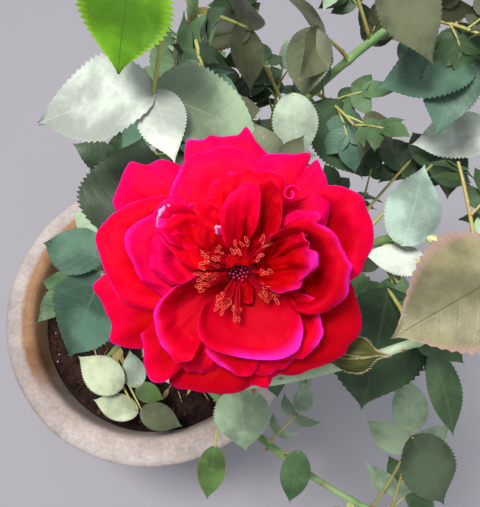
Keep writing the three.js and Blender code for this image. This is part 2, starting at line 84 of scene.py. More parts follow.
def turned(outline, steps):
    """A closed shape turned about the upright axis, from an outline of radius and height."""
    shape = bmesh.new()
    verts = [shape.verts.new((radius, 0, height)) for radius, height in outline]
    edges = [shape.edges.new(pair) for pair in zip(verts, verts[1:])]
    bmesh.ops.spin(
        shape, geom=verts + edges, cent=(0, 0, 0), axis=(0, 0, 1), angle=math.tau, steps=steps, use_merge=True
    )
    bmesh.ops.remove_doubles(shape, verts=shape.verts, dist=1e-6)
    bmesh.ops.recalc_face_normals(shape, faces=shape.faces)
    return shape


def mesh_of(shape, name):
    """Turns a bmesh into a mesh and frees it."""
    mesh = bpy.data.meshes.new(name)
    shape.to_mesh(mesh)
    shape.free()
    return mesh


def shown(name, data):
    """An object with its data, linked to the scene."""
    thing = bpy.data.objects.new(name, data)
    bpy.context.scene.collection.objects.link(thing)
    return thing


def dressed(mesh, name, materials, nodes=()):
    """Makes a mesh a smooth piece on the root body, in place of the CAD nodes that it stands for."""
    mesh.shade_smooth()
    for material in materials:
        mesh.materials.append(material)
    piece = shown(name, mesh)
    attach(piece, "root")
    if nodes:
        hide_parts(*nodes)
    return piece


def piece_of(shape, name, materials, nodes=()):
    return dressed(mesh_of(shape, name), name, materials, nodes)


def paint(red, green, blue):
    """A colour as it is seen, from 0 to 255, in the linear values that a shader takes."""
    return (*((c / 255) ** 2.2 for c in (red, green, blue)), 1)


class Graph:
    """The nodes of one material or node group, each made with its inputs linked or set."""

    def __init__(self, tree):
        self.tree = tree

    def add(self, kind, inputs=(), **settings):
        node = self.tree.nodes.new("ShaderNode" + kind)
        for key, value in settings.items():
            setattr(node, key, value)
        for key, value in dict(inputs).items():
            if isinstance(value, bpy.types.NodeSocket):
                self.tree.links.new(value, node.inputs[key])
            else:
                node.inputs[key].default_value = value
        return node.outputs

    def noise(self, place, scale, detail=4, rough=0.55):
        inputs = {"Vector": place, "Scale": scale, "Detail": detail, "Roughness": rough}
        return self.add("TexNoise", inputs)["Fac"]

    def stretched(self, place, scale):
        return self.add("Mapping", {"Vector": place, "Scale": scale})["Vector"]

    def between(self, value, low, high, start=0, end=1):
        """How far a value has gone from low to high, held at both ends."""
        inputs = {"Value": value, "From Min": low, "From Max": high, "To Min": start, "To Max": end}
        return self.add("MapRange", inputs, interpolation_type="SMOOTHSTEP")["Result"]

    def maths(self, operation, a, b=0.5):
        return self.add("Math", {0: a, 1: b}, operation=operation)["Value"]

    def plus(self, a, b):
        return self.maths("ADD", a, b)

    def times(self, a, b):
        return self.maths("MULTIPLY", a, b)

    def mixed(self, share, a, b, blend="MIX"):
        inputs = {0: share, 6: a, 7: b}
        return self.add("Mix", inputs, data_type="RGBA", blend_type=blend)[2]

    def bump(self, height, strength, distance=0.001):
        return self.add("Bump", {"Height": height, "Strength": strength, "Distance": distance})["Normal"]

    def place(self):
        return self.add("TexCoord")["Object"]

    def chart(self):
        return self.add("UVMap", uv_map="chart")["UV"]

    def across(self):
        return self.add("Attribute", attribute_name="across")["Fac"]

    def group(self, effect, **inputs):
        node = self.tree.nodes.new("ShaderNodeGroup")
        node.node_tree = effect.tree
        for key, value in inputs.items():
            socket = node.inputs[key.replace("_", " ")]
            if isinstance(value, bpy.types.NodeSocket):
                self.tree.links.new(value, socket)
            else:
                socket.default_value = value
        return node.outputs


class Finish(Graph):
    """A material round one Principled shader, its constants set on the shader itself."""

    def __init__(self, name, **constants):
        self.material = bpy.data.materials.new(name)
        self.material.use_nodes = True
        super().__init__(self.material.node_tree)
        self.shader = self.tree.nodes["Principled BSDF"]
        for key, value in constants.items():
            self.shader.inputs[key.replace("_", " ")].default_value = value

    def mottled(self, place, patch, grain, low, high, shade, light):
        """Clouds of two colours that change over from low to high, after the values of the mottle group."""
        cloud = self.group(mottle, Place=place, Patch=patch, Grain=grain)
        return cloud, self.mixed(self.between(cloud["Patches"], low, high), paint(*shade), paint(*light))

    def tinted(self, base, value, low, high, colour, most=1):
        """A colour over another one where a value has gone from low to high."""
        return self.mixed(self.between(value, low, high, 0, most), base, paint(*colour))

    def wear(self, **surface):
        """Links colour, roughness and normal to the shader and gives the finished material."""
        for key, value in surface.items():
            self.tree.links.new(value, self.shader.inputs[key.replace("_", " ")])
        return self.material


def new_group(name, inputs, outputs):
    """An empty node group with named inputs and outputs, and its graph."""
    tree = bpy.data.node_groups.new(name, "ShaderNodeTree")
    for direction, sockets in (("INPUT", inputs), ("OUTPUT", outputs)):
        for socket, kind in sockets.items():
            tree.interface.new_socket(name=socket, in_out=direction, socket_type="NodeSocket" + kind)
    graph = Graph(tree)
    return graph, tree.nodes.new("NodeGroupInput").outputs, tree.nodes.new("NodeGroupOutput").inputs


# Broad patches and fine grain, which clay, soil, bark and leaves all show at their own scales.
mottle, given, result = new_group(
    "mottle", {"Place": "Vector", "Patch": "Float", "Grain": "Float"}, {"Patches": "Float", "Grains": "Float"}
)
mottle.tree.links.new(mottle.noise(given["Place"], given["Patch"], 5, 0.6), result["Patches"])
mottle.tree.links.new(mottle.noise(given["Place"], given["Grain"], 3, 0.7), result["Grains"])

pot_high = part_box("pot")[1]
RIM_RADIUS = pot_high.x
RIM_HEIGHT = pot_high.z
FOOT_RADIUS = 0.098
BODY_RADIUS = 0.131
MOUTH_RADIUS = 0.122
COLLAR = 0.042
LIP_ROUND = 0.009
FLOOR = 0.022
FLOOR_RADIUS = 0.082
DRAIN_RADIUS = 0.007
DRAIN_OUT = 0.048
DRAINS = 3
SHOULDER = RIM_HEIGHT - COLLAR
POT_STEPS = 112
WOBBLES = ((0.0009, 16), (0.0003, 90))
THROWING_RIDGE = 0.00014
THROWING_PITCH = 0.0105
CHIP_DEPTH = 0.006
CHIPS_FROM = Vector((3, 1, 7))
RIM_WEAR = 0.0006
RIM_BAND = 0.02


def inner_wall(height):
    return mix(FLOOR_RADIUS, MOUTH_RADIUS - 0.004, (height - FLOOR) / (SHOULDER - FLOOR))


pot_outline = softened(
    [
        (0, 0),
        (FOOT_RADIUS, 0),
        (BODY_RADIUS, SHOULDER - 0.008),
        (RIM_RADIUS - 0.006, SHOULDER - 0.004),
        (RIM_RADIUS, SHOULDER + 0.006),
        (RIM_RADIUS, RIM_HEIGHT),
        (MOUTH_RADIUS, RIM_HEIGHT),
        (inner_wall(SHOULDER), SHOULDER),
        (FLOOR_RADIUS, FLOOR),
        (0, FLOOR),
    ],
    LIP_ROUND,
)
pot_shape = turned(pot_outline, POT_STEPS)
for vert in pot_shape.verts:
    radius = math.hypot(vert.co.x, vert.co.y)
    if radius > FOOT_RADIUS * 0.9:
        out = Vector((vert.co.x, vert.co.y, 0)) / radius
        ridges = THROWING_RIDGE * math.sin(vert.co.z * math.tau / THROWING_PITCH)
        chip = CHIP_DEPTH * max(0, noise.noise(vert.co * 42 + CHIPS_FROM) - 0.36)
        near_rim = max(0, 1 - (RIM_HEIGHT - vert.co.z) / RIM_BAND)
        vert.co += out * (bumps_at(vert.co, WOBBLES) + ridges)
        vert.co.z -= chip * near_rim + RIM_WEAR * near_rim * (1 + noise.noise(vert.co * 23))

limewash = Finish("limewashed clay", Roughness=0.9, Specular_IOR_Level=0.25)
spot = limewash.place()
cloud, colour = limewash.mottled(spot, 11, 260, 0.35, 0.62, (206, 193, 187), (172, 157, 151))
streak = limewash.noise(limewash.stretched(spot, (26, 26, 2.5)), 1, 4)
colour = limewash.tinted(colour, streak, 0.55, 0.75, (132, 122, 118), 0.4)
worn = limewash.between(limewash.noise(spot, 22, 8, 0.68), 0.6, 0.68, 0, 0.7)
colour = limewash.mixed(worn, colour, paint(150, 126, 108))

# The bare clay inside the mouth, down to where the soil lies, has an uneven edge and thins out at the front,
# where the paler limewash colour on the inner lip is partly painted sunlight.
flat = limewash.add("VectorMath", {0: spot, 1: (1, 1, 0)}, operation="MULTIPLY")["Vector"]
radius = limewash.add("VectorMath", {0: flat}, operation="LENGTH")["Value"]
axes = limewash.add("SeparateXYZ", {0: spot})
uneven = limewash.times(limewash.noise(spot, 45, 5), 0.006)
inside = limewash.between(limewash.plus(radius, uneven), 0.1395, 0.133)
sunlit_front = limewash.plus(axes["Y"], limewash.times(uneven, 6))
inside = limewash.times(inside, limewash.between(sunlit_front, -0.07, -0.03, 0.15, 1))
inside = limewash.times(inside, limewash.between(axes["Z"], 0.196, 0.204))
bare = limewash.mixed(limewash.between(cloud["Patches"], 0.4, 0.6), paint(180, 138, 104), paint(140, 102, 76))
colour = limewash.mixed(inside, colour, bare)
grime = limewash.between(cloud["Grains"], 0.4, 0.66, 0.88, 1.06)
grey = limewash.add("CombineColor", {0: grime, 1: grime, 2: grime})["Color"]
colour = limewash.mixed(1, colour, grey, "MULTIPLY")
relief = limewash.plus(cloud["Grains"], limewash.times(worn, -0.7))
pot_finish = limewash.wear(Base_Color=colour, Normal=limewash.bump(relief, 0.5, 0.0008))

pot = piece_of(pot_shape, "pot_wall", [pot_finish], ["pot"])
drill = bmesh.new()
for i in range(DRAINS):
    bmesh.ops.create_cone(
        drill, cap_ends=True, segments=24, radius1=DRAIN_RADIUS, radius2=DRAIN_RADIUS, depth=3 * FLOOR,
        matrix=Matrix.Translation(around(i * math.tau / DRAINS, DRAIN_OUT)),
    )
drill_body = shown("drill", mesh_of(drill, "drill"))
cut = pot.modifiers.new("drains", "BOOLEAN")
cut.object = drill_body
cut.solver = "EXACT"
drained = bpy.data.meshes.new_from_object(pot.evaluated_get(bpy.context.evaluated_depsgraph_get()))
pot.modifiers.clear()
pot.data = drained
drained.shade_smooth()
bpy.data.objects.remove(drill_body)


# The soil: moist dark potting mix that fills the pot to below its collar, crumbly on top, with grit,
# dry leaf scraps and a pale stick lying on it.
SOIL_EDGE = 0.211
SOIL_MIDDLE = 0.224
SOIL_GAP = 0.0003
SOIL_RADIUS = inner_wall(SOIL_EDGE)
SOIL_LUMPS = ((0.0022, 45), (0.0014, 130), (0.0008, 320))
SOIL_RINGS = 48
SOIL_STEPS = 150


def soil_height(x, y):
    """The top of the soil: a low mound with lumps, which fade out at the pot's wall."""
    share = max(0, 1 - math.hypot(x, y) / SOIL_RADIUS)
    lumps = bumps_at(Vector((x, y, 0)), SOIL_LUMPS)
    return mix(SOIL_EDGE, SOIL_MIDDLE, math.sqrt(share)) + lumps * min(1, share * 12)


soil_outline = [(0, FLOOR + SOIL_GAP), (FLOOR_RADIUS - SOIL_GAP, FLOOR + SOIL_GAP)]
for ring in range(SOIL_RINGS + 1):
    soil_outline.append(((SOIL_RADIUS - 2 * SOIL_GAP) * (1 - ring / SOIL_RINGS), SOIL_EDGE))
soil_shape = turned(soil_outline, SOIL_STEPS)
for vert in soil_shape.verts:
    if vert.co.z > SOIL_EDGE - 0.001:
        vert.co.z = soil_height(vert.co.x, vert.co.y)

earth = Finish("moist potting soil", Roughness=0.95, Specular_IOR_Level=0.2)
cloud, colour = earth.mottled(earth.place(), 60, 700, 0.35, 0.65, (34, 25, 25), (66, 46, 40))
colour = earth.tinted(colour, cloud["Grains"], 0.6, 0.72, (122, 92, 74))
relief = earth.plus(cloud["Grains"], cloud["Patches"])
soil_finish = earth.wear(Base_Color=colour, Normal=earth.bump(relief, 0.9, 0.002))
piece_of(soil_shape, "soil_fill", [soil_finish], ["soil"])


class Gathered:
    """Many small like shapes gathered into one mesh, each with its material and its map."""

    def __init__(self):
        self.corners = []
        self.faces = []
        self.looks = []
        self.maps = []
        self.across = []
        self.count = 0

    def add(self, corners, faces, look=0, places=None, across=None):
        corners = np.asarray(corners, float)
        self.corners.append(corners)
        self.faces += [tuple(int(v) + self.count for v in face) for face in faces]
        self.looks += [look] * len(faces)
        self.maps.append(np.zeros((len(corners), 2)) if places is None else places)
        self.across.append(np.zeros(len(corners)) if across is None else across)
        self.count += len(corners)

    def piece(self, name, materials, slot, nodes=()):
        mesh = bpy.data.meshes.new(name)
        mesh.from_pydata(np.concatenate(self.corners).tolist(), [], self.faces)
        mesh.polygons.foreach_set("material_index", self.looks)
        order = np.zeros(len(mesh.loops), int)
        mesh.loops.foreach_get("vertex_index", order)
        chart = mesh.uv_layers.new(name="chart")
        chart.uv.foreach_set("vector", np.concatenate(self.maps)[order].astype(np.float32).ravel())
        across = mesh.attributes.new("across", "FLOAT", "POINT")
        across.data.foreach_set("value", np.concatenate(self.across).astype(np.float32))
        return dressed(mesh, name, materials, nodes)


def dice(seed):
    """Park and Miller's random numbers, from 0 to 1, the same on every run."""
    state = seed

    def roll():
        nonlocal state
        state = state * 16807 % 2147483647
        return state / 2147483647

    return roll


def taken_from(shape):
    """The corners and the faces of a bmesh, which is then freed."""
    corners = np.array([v.co[:] for v in shape.verts])
    faces = [[v.index for v in f.verts] for f in shape.faces]
    shape.free()
    return corners, faces


def pebble_shape():
    shape = bmesh.new()
    bmesh.ops.create_icosphere(shape, subdivisions=1, radius=1)
    return taken_from(shape)


def grid_shape(columns, rows):
    """The corners, from 0 to 1 both ways, and the quads of a flat grid."""
    shape = bmesh.new()
    bmesh.ops.create_grid(shape, x_segments=columns, y_segments=rows, size=0.5)
    corners, faces = taken_from(shape)
    return corners[:, :2] + 0.5, faces


def soil_spot(roll, margin):
    """A random place on the soil, a margin away from the pot's wall."""
    out = (SOIL_RADIUS - margin) * math.sqrt(roll())
    turn = math.tau * roll()
    return out * math.cos(turn), out * math.sin(turn)


def grained(name, scale, shade, light, bump=None, stretch=None, detail=4, **constants):
    """A material of two colours by one grain, with a bump of that grain where bump gives its strength."""
    finish = Finish(name, **constants)
    place = finish.stretched(finish.place(), stretch) if stretch else finish.place()
    grain = finish.noise(place, scale, detail)
    surface = {"Normal": finish.bump(grain, *bump)} if bump else {}
    return finish.wear(Base_Color=finish.mixed(grain, paint(*shade), paint(*light)), **surface)


PEBBLE, PEBBLE_FACES = pebble_shape()
CRUMBS = 1500
CRUMB_SMALLEST, CRUMB_RANGE = 0.0011, 0.0024
crumbs = Gathered()
roll = dice(4711)
for i in range(CRUMBS):
    x, y = soil_spot(roll, 0.005)
    size = CRUMB_SMALLEST + CRUMB_RANGE * roll() ** 3
    shape = PEBBLE * np.array([0.7 + 0.6 * roll(), 0.7 + 0.6 * roll(), 0.5 + 0.4 * roll()]) * size
    look = 0 if roll() < 0.8 else (1 if roll() < 0.7 else 2)
    crumbs.add(shape + np.array([x, y, soil_height(x, y) + 0.25 * size]), PEBBLE_FACES, look)
peat_finish = grained(
    "red-brown peat crumbs", 500, (58, 36, 30), (104, 72, 56), [0.6], Roughness=0.95, Specular_IOR_Level=0.2
)
grit_finish = grained("pale grit", 400, (120, 108, 98), (196, 184, 172), [0.4], Roughness=0.8)
crumbs.piece("soil_crumbs", [soil_finish, peat_finish, grit_finish], "soil")

SCRAP, SCRAP_FACES = grid_shape(2, 5)
SCRAPS = 64
SLIM_SCRAPS = 0.45
SCRAP_LIFT = 0.0022
litter = Gathered()
roll = dice(815)
for i in range(SCRAPS):
    x, y = soil_spot(roll, 0.016)
    if roll() < SLIM_SCRAPS:
        long, wide = 0.012 + 0.014 * roll(), 0.0012
    else:
        long, wide = 0.009 + 0.009 * roll(), 0.004 + 0.004 * roll()
    u, v = SCRAP[:, 0] - 0.5, SCRAP[:, 1] - 0.5
    curl = (2.5 * v * v + 1.2 * abs(u)) * wide * 0.5
    shape = np.stack([long * v, -wide * u * np.cos(v * 2.6), curl], axis=1)
    spun = Matrix.Rotation(math.tau * roll(), 3, "Z") @ Matrix.Rotation(0.35 * (roll() - 0.5), 3, "Y")
    shape = shape @ np.array(spun).T
    litter.add(shape + np.array([x, y, soil_height(x, y) + SCRAP_LIFT]), SCRAP_FACES, int(roll() * 2))
STICK_LENGTH, STICK_WIDTH, STICK_HEIGHT = 0.034, 0.0042, 0.0012
STICK_FOOT = Vector((-0.087, 0.012, 0.219))
STICK_TURN = 0.32
u, v = SCRAP[:, 0], SCRAP[:, 1]
stick = np.stack([STICK_LENGTH * v, STICK_WIDTH * (0.5 - u), STICK_HEIGHT * np.sin(u * math.pi)], axis=1)
stick = stick @ np.array(Matrix.Rotation(STICK_TURN, 3, "Z")).T
litter.add(stick + np.array(STICK_FOOT), SCRAP_FACES, 2)
litter_finishes = [
    grained("dry brown leaf", 300, (92, 58, 40), (160, 112, 78), Roughness=0.85),
    grained("straw-coloured leaf", 300, (150, 116, 84), (204, 176, 138), Roughness=0.8),
    grained("pale dry stalk", 1, (206, 192, 152), (236, 226, 196), stretch=(40, 400, 400), Roughness=0.7),
]
litter.piece("soil_litter", litter_finishes, "soil")


# The root crown: the knobbly woody stock that all canes spring from, half sunk in the soil, with grey-brown
# bark that is cracked and flaked.
CROWN_RADIUS = 0.0145
CROWN_FOOT = 0.206
CROWN_TOP = 0.2455
CROWN_KNOBS = ((0.22, 2.2), (0.1, 5.5), (0.05, 14))

bark = Finish("flaking old bark", Roughness=0.85, Specular_IOR_Level=0.3)
upright = bark.stretched(bark.place(), (1, 1, 0.35))
cloud, colour = bark.mottled(upright, 90, 520, 0.38, 0.62, (96, 82, 62), (140, 124, 92))
colour = bark.tinted(colour, cloud["Grains"], 0.52, 0.7, (64, 50, 40))
relief = bark.plus(cloud["Patches"], cloud["Grains"])
bark_finish = bark.wear(Base_Color=colour, Normal=bark.bump(relief, 1, 0.0015))

crown_shape = bmesh.new()
bmesh.ops.create_icosphere(crown_shape, subdivisions=5, radius=1)
for vert in crown_shape.verts:
    way = vert.co.normalized()
    flare = 1 + 0.3 * max(0, -way.z)
    cracks = 0.05 * noise.noise(Vector((way.x * 13, way.y * 13, way.z * 3)))
    level = (CROWN_FOOT + CROWN_TOP) / 2 + way.z * (CROWN_TOP - CROWN_FOOT) / 2
    out = CROWN_RADIUS * flare * (1 + bumps_at(way, CROWN_KNOBS) + cracks)
    vert.co = (way.x * out, way.y * out, level)
piece_of(crown_shape, "crown_bark", [bark_finish], ["root_crown"])


# The canes: round green shoots that rise from the crown and arch outwards, thinner towards the tip. Their
# skin is ribbed and dotted, with a ring where each leaf stands and hooked prickles between the rings.
def leaf_at(at, joint, *tips, tone, **more):
    """A leaf that the photo shows: its place on the cane, where its leaflets meet, and the tip of each."""
    return dict(at=at, joint=joint, tips=tips, tone=tone, **more)


# Each cane is one curve from its place on the crown to its tip, with its radius at both ends, the leaves that
# the photo shows, and how many more go round it between two shares of its length.
CANES = {
    "bloom": dict(
        curve=[(0, 0, 0.24), (0.004, 0.008, 0.4), (0.088, -0.006, 0.47), (0.089, -0.0442, 0.622)],
        radius=(0.0052, 0.0026),
        placed=[
            leaf_at(0.84, (0.031, -0.015, 0.566), (0.038, 0.0385, 0.58), tone="moss", wide=0.92),
        ],
        more=dict(count=3, first=200, seed=11, span=(0.44, 0.66)),
    ),
    "arching": dict(
        curve=[(-0.002, -0.009, 0.238), (0.002, -0.092, 0.4), (0.09, -0.112, 0.6), (0.232, -0.042, 0.585)],
        # This cane wears the paler skin, which is painted sunlight.
        radius=(0.0048, 0.0017), pale=True,
        placed=[
            leaf_at(0.97, (0.201, -0.0423, 0.6217), (0.149, -0.0715, 0.629), wide=0.83, tone="bronze"),
            leaf_at(0.9, (0.182, -0.071, 0.562), (0.203, -0.118, 0.539), wide=0.3, tone="mid"),
            leaf_at(0.86, (0.163, -0.04, 0.56), (0.154, -0.107, 0.531), tone="deep", wide=0.72),
            leaf_at(0.56, (0.088, -0.082, 0.414), (0.094, -0.131, 0.402), wide=0.8, tone="pale"),
        ],
        more=dict(count=2, first=20, seed=23, span=(0.9, 1)),
    ),
    "low": dict(
        curve=[(0.005, -0.008, 0.237), (0.04, -0.062, 0.325), (0.11, -0.14, 0.332), (0.21, -0.182, 0.335)],
        radius=(0.0044, 0.0022),
        placed=[
            leaf_at(0.99, (0.212, -0.111, 0.406), (0.208, -0.074, 0.422), leaflets=5, tone="pale"),
            leaf_at(0.94, (0.204, -0.115, 0.437), (0.232, -0.165, 0.423), tone="moss"),
            leaf_at(0.62, (0.134, -0.097, 0.4), (0.136, -0.08, 0.415), leaflets=5, tone="pale"),
            leaf_at(0.66, (0.135, -0.129, 0.36), (0.128, -0.173, 0.349), tone="mid", wide=0.52),
            leaf_at(0.44, (0.068, -0.127, 0.33), (0.06, -0.175, 0.317), tone="young", wide=0.48),
        ],
        more=dict(count=3, first=180, seed=37, span=(0.86, 1)),
    ),
    "right": dict(
        curve=[(0.009, 0.001, 0.237), (0.072, 0, 0.35), (0.14, 0, 0.44), (0.19, 0, 0.54)],
        radius=(0.0046, 0.0022), ends=0.965,
        placed=[
            leaf_at(0.93, (0.181, -0.007, 0.528), (0.195, 0.037, 0.544), tone="jade"),
            leaf_at(0.9, (0.195, -0.018, 0.52), (0.16, -0.007, 0.517), tone="pearl", wide=0.52),
            leaf_at(0.8, (0.222, 0.063, 0.505), (0.223, 0.031, 0.496), leaflets=3, tone="deep"),
            leaf_at(0.74, (0.209, 0.07, 0.486), (0.181, 0.05, 0.481), leaflets=3, tone="deep"),
        ],
        more=dict(count=4, first=-40, seed=41, span=(0.45, 0.72)),
    ),
    "back_right": dict(
        curve=[(0.006, 0.008, 0.237), (0.042, 0.044, 0.37), (0.112, 0.104, 0.5), (0.2, 0.12, 0.58)],
        radius=(0.0048, 0.0022),
        placed=[
            leaf_at(1, (0.239, 0.063, 0.526), (0.192, 0.06, 0.525), tone="lit"),
            leaf_at(0.97, (0.157, 0.1, 0.618), (0.185, 0.06, 0.608), tone="olive"),
            leaf_at(0.93, (0.214, 0.082, 0.572), (0.161, 0.072, 0.57), leaflets=3, tone="blue"),
            leaf_at(0.84, (0.129, 0.104, 0.568), (0.124, 0.067, 0.558), leaflets=3, tone="olive"),
            leaf_at(0.74, (0.117, 0.064, 0.567), (0.121, 0.028, 0.558), tone="ash"),
            leaf_at(0.7, (0.133, 0.074, 0.539), (0.166, 0.033, 0.528), tone="deep"),
        ],
        more=dict(count=4, first=10, seed=53, span=(0.48, 0.7)),
    ),
    "back": dict(
        curve=[(-0.001, 0.009, 0.238), (0.014, 0.06, 0.38), (0.076, 0.112, 0.52), (0.064, 0.104, 0.655)],
        radius=(0.005, 0.0022),
        placed=[
            leaf_at(
                0.97, (0.053, 0.029, 0.63), (0.0624, -0.0014, 0.6345), (-0.0045, 0.0245, 0.6238),
                (0.1065, 0.0215, 0.608), tone="pearl pearl pale",
            ),
            leaf_at(1, (0.051, 0.057, 0.674), (0.04, 0.022, 0.655), tone="bright", wide=0.9, jag=1.6),
            leaf_at(0.84, (0.094, 0.104, 0.568), (0.053, 0.101, 0.567), leaflets=3, tone="olive"),
        ],
        more=dict(count=4, first=100, seed=67, span=(0.54, 0.9)),
    ),
    "back_left": dict(
        curve=[(-0.007, 0.006, 0.237), (-0.02, 0.062, 0.32), (0.01, 0.128, 0.37), (0.02, 0.15, 0.43)],
        radius=(0.0042, 0.002),
        more=dict(count=5, first=60, seed=72, span=(0.46, 1)),
    ),
    "left": dict(
        curve=[(-0.009, -0.002, 0.237), (-0.034, 0.002, 0.32), (-0.034, 0.006, 0.4), (0.006, 0.002, 0.5)],
        radius=(0.0042, 0.002),
        placed=[
            leaf_at(0.98, (0.01, -0.014, 0.521), (-0.032, 0, 0.517), tone="blue"),
            leaf_at(0.92, (0.01, -0.023, 0.518), (-0.021, -0.073, 0.489), tone="blue"),
        ],
        more=dict(count=3, first=80, seed=83, span=(0.48, 0.8)),
    ),
    "basal": dict(
        curve=[
            (-0.007, -0.006, 0.236), (-0.024, -0.024, 0.25), (-0.034, -0.04, 0.262), (-0.044, -0.05, 0.262),
        ],
        radius=(0.003, 0.0018),
        placed=[
            leaf_at(1, (-0.0233, -0.0765, 0.2751), (-0.0667, -0.0464, 0.2831), tone="sage"),
            leaf_at(0.9, (-0.009, -0.0984, 0.2654), (-0.0544, -0.0865, 0.2674), tone="sage", wide=0.54),
            leaf_at(0.8, (-0.0043, -0.0966, 0.2659), (0.0358, -0.1128, 0.2615), tone="olive", wide=0.6),
            leaf_at(0.7, (-0.0097, -0.0742, 0.2663), (-0.0183, -0.0409, 0.2753), tone="ash"),
            leaf_at(0.75, (-0.0097, -0.0761, 0.2658), (0.0171, -0.0872, 0.2629), tone="young"),
        ],
        more=dict(count=0),
    ),
}
UP = Vector((0, 0, 1))
CANE_SIDES = 14
RING_SPACING = 0.0028
RING_SWELL = 0.0007
RING_SPREAD = 0.0022
TIP_SLIM = 0.6
PRICKLE_EVERY = 0.021
PRICKLE_LENGTH = 0.0055
PRICKLE_WIDTH = 0.0034
GOLDEN_ANGLE = 137.5


class Path:
    """A smooth curve with two to four control points, walked by the share of its length."""

    def __init__(self, *controls):
        share = np.linspace(0, 1, 401)[:, None]
        rows = [np.array(c, float) * np.ones_like(share) for c in controls]
        while len(rows) > 1:
            rows = [mix(a, b, share) for a, b in zip(rows, rows[1:])]
        self.points = rows[0]
        strides = np.linalg.norm(np.diff(self.points, axis=0), axis=1)
        self.walked = np.concatenate([[0], np.cumsum(strides)])
        self.length = self.walked[-1]

    def at(self, share):
        here = min(max(share, 0), 1) * self.length
        return Vector(np.interp(here, self.walked, self.points[:, i]) for i in range(3))

    def heading(self, share):
        return (self.at(share + 0.002) - self.at(share - 0.002)).normalized()

    def samples(self, count, end=1):
        return np.array([self.at(end * (i / count)) for i in range(count + 1)])


def square_to(axis, vector):
    """The direction of what stands at right angles to an axis in a vector."""
    return (vector - axis * vector.dot(axis)).normalized()


def off_axis(axis, turn):
    """A direction at right angles to an axis, at a turn round it."""
    side = axis.orthogonal().normalized()
    return side * math.cos(turn) + axis.cross(side) * math.sin(turn)


def frames_along(points):
    """Turns that carry the X and Y axes along a row of points without twisting."""
    ways = [(Vector(b) - Vector(a)).normalized() for a, b in zip(points, points[1:])]
    ways.append(ways[-1])
    side = ways[0].orthogonal().normalized()
    turns = []
    for point, way in zip(points, ways):
        side = square_to(way, side)
        turns.append(Matrix((side, way.cross(side), way)).transposed().to_4x4())
        turns[-1].translation = point
    return turns


def cane_finish_of(name, shade, light):
    """The skin of a cane: woody at its foot, ribbed, dotted and flushed red in places."""
    skin = Finish(name, Roughness=0.5, Specular_IOR_Level=0.4)
    spot = skin.place()
    cloud, colour = skin.mottled(spot, 35, 900, 0.38, 0.62, shade, light)
    height = skin.add("SeparateXYZ", {0: spot})["Z"]
    level = skin.plus(height, skin.times(cloud["Patches"], 0.09))
    colour = skin.tinted(colour, level, 0.36, 0.27, (112, 104, 66))
    colour = skin.tinted(colour, cloud["Grains"], 0.66, 0.74, (190, 186, 150), 0.6)
    colour = skin.tinted(colour, skin.noise(spot, 14), 0.56, 0.7, (150, 84, 66), 0.4)
    relief = skin.plus(cloud["Grains"], skin.noise(skin.stretched(spot, (1, 1, 0.12)), 600))
    return skin.wear(Base_Color=colour, Normal=skin.bump(relief, 0.35, 0.0005))


cane_finish = cane_finish_of("ribbed green cane", (118, 158, 98), (156, 188, 124))
# A paler copy of the cane skin, worn by the arching cane: painted sunlight.
sunlit_cane_finish = cane_finish_of("pale green cane", (172, 202, 156), (210, 228, 190))


def cane_skin(path, radius, rings_at, ends=1):
    """A closed round skin along a path, swollen where leaves stand, with ribs that run along it."""
    count = round(path.length / RING_SPACING)
    frames = frames_along(path.samples(count, ends))
    skin = bmesh.new()
    ring = bmesh.ops.create_circle(skin, segments=CANE_SIDES, radius=1, cap_ends=True)["verts"]
    edges = list(skin.edges)
    rings = []
    for step, turn in enumerate(frames):
        share = ends * step / count
        gaps = [(share - at) * path.length / RING_SPREAD for at in rings_at]
        size = mix(*radius, share) + sum(RING_SWELL * math.exp(-(gap**2)) for gap in gaps)
        if step == count:
            size *= TIP_SLIM
        here = turn @ Matrix.Diagonal((size, size, 1, 1))
        if step:
            grown = bmesh.ops.extrude_edge_only(skin, edges=edges)["geom"]
            ring = [part for part in grown if isinstance(part, bmesh.types.BMVert)]
            edges = [part for part in grown if isinstance(part, bmesh.types.BMEdge)]
        bmesh.ops.transform(skin, matrix=here @ before.inverted() if step else here, verts=ring)
        before = here
        rings.append((turn, share, list(ring)))
    bmesh.ops.holes_fill(skin, edges=edges)
    for turn, share, verts in rings:
        centre = turn.translation
        rough = mix(0.0005, 0.00012, min(1, share * 2.5))
        for vert in verts:
            out = vert.co - centre
            local = turn.to_3x3().transposed() @ out
            rib = noise.noise(Vector((local.x * 900, local.y * 900, share * path.length * 45)))
            bump = noise.noise(vert.co * 260)
            vert.co += out.normalized() * rough * (rib + 0.5 * bump)
    bmesh.ops.recalc_face_normals(skin, faces=skin.faces)
    return skin


def prickle_shape():
    """A hooked thorn that stands on the origin and bends over towards -X."""
    shape = bmesh.new()
    bmesh.ops.create_cone(shape, cap_ends=True, segments=7, radius1=1, radius2=0.06, depth=1)
    upright = [e for e in shape.edges if abs(e.verts[0].co.z - e.verts[1].co.z) > 0.5]
    bmesh.ops.subdivide_edges(shape, edges=upright, cuts=3)
    for vert in shape.verts:
        rise = vert.co.z + 0.5
        slim = (1 - rise) ** 0.6 + 0.08
        vert.co.x *= slim * 1.5 / max(1 - 0.94 * rise, 0.06)
        vert.co.y *= slim * 0.7 / max(1 - 0.94 * rise, 0.06)
        vert.co.x = vert.co.x * PRICKLE_WIDTH / 2 - 0.3 * PRICKLE_LENGTH * rise**2
        vert.co.y = vert.co.y * PRICKLE_WIDTH / 2
        vert.co.z = rise * PRICKLE_LENGTH
    return taken_from(shape)


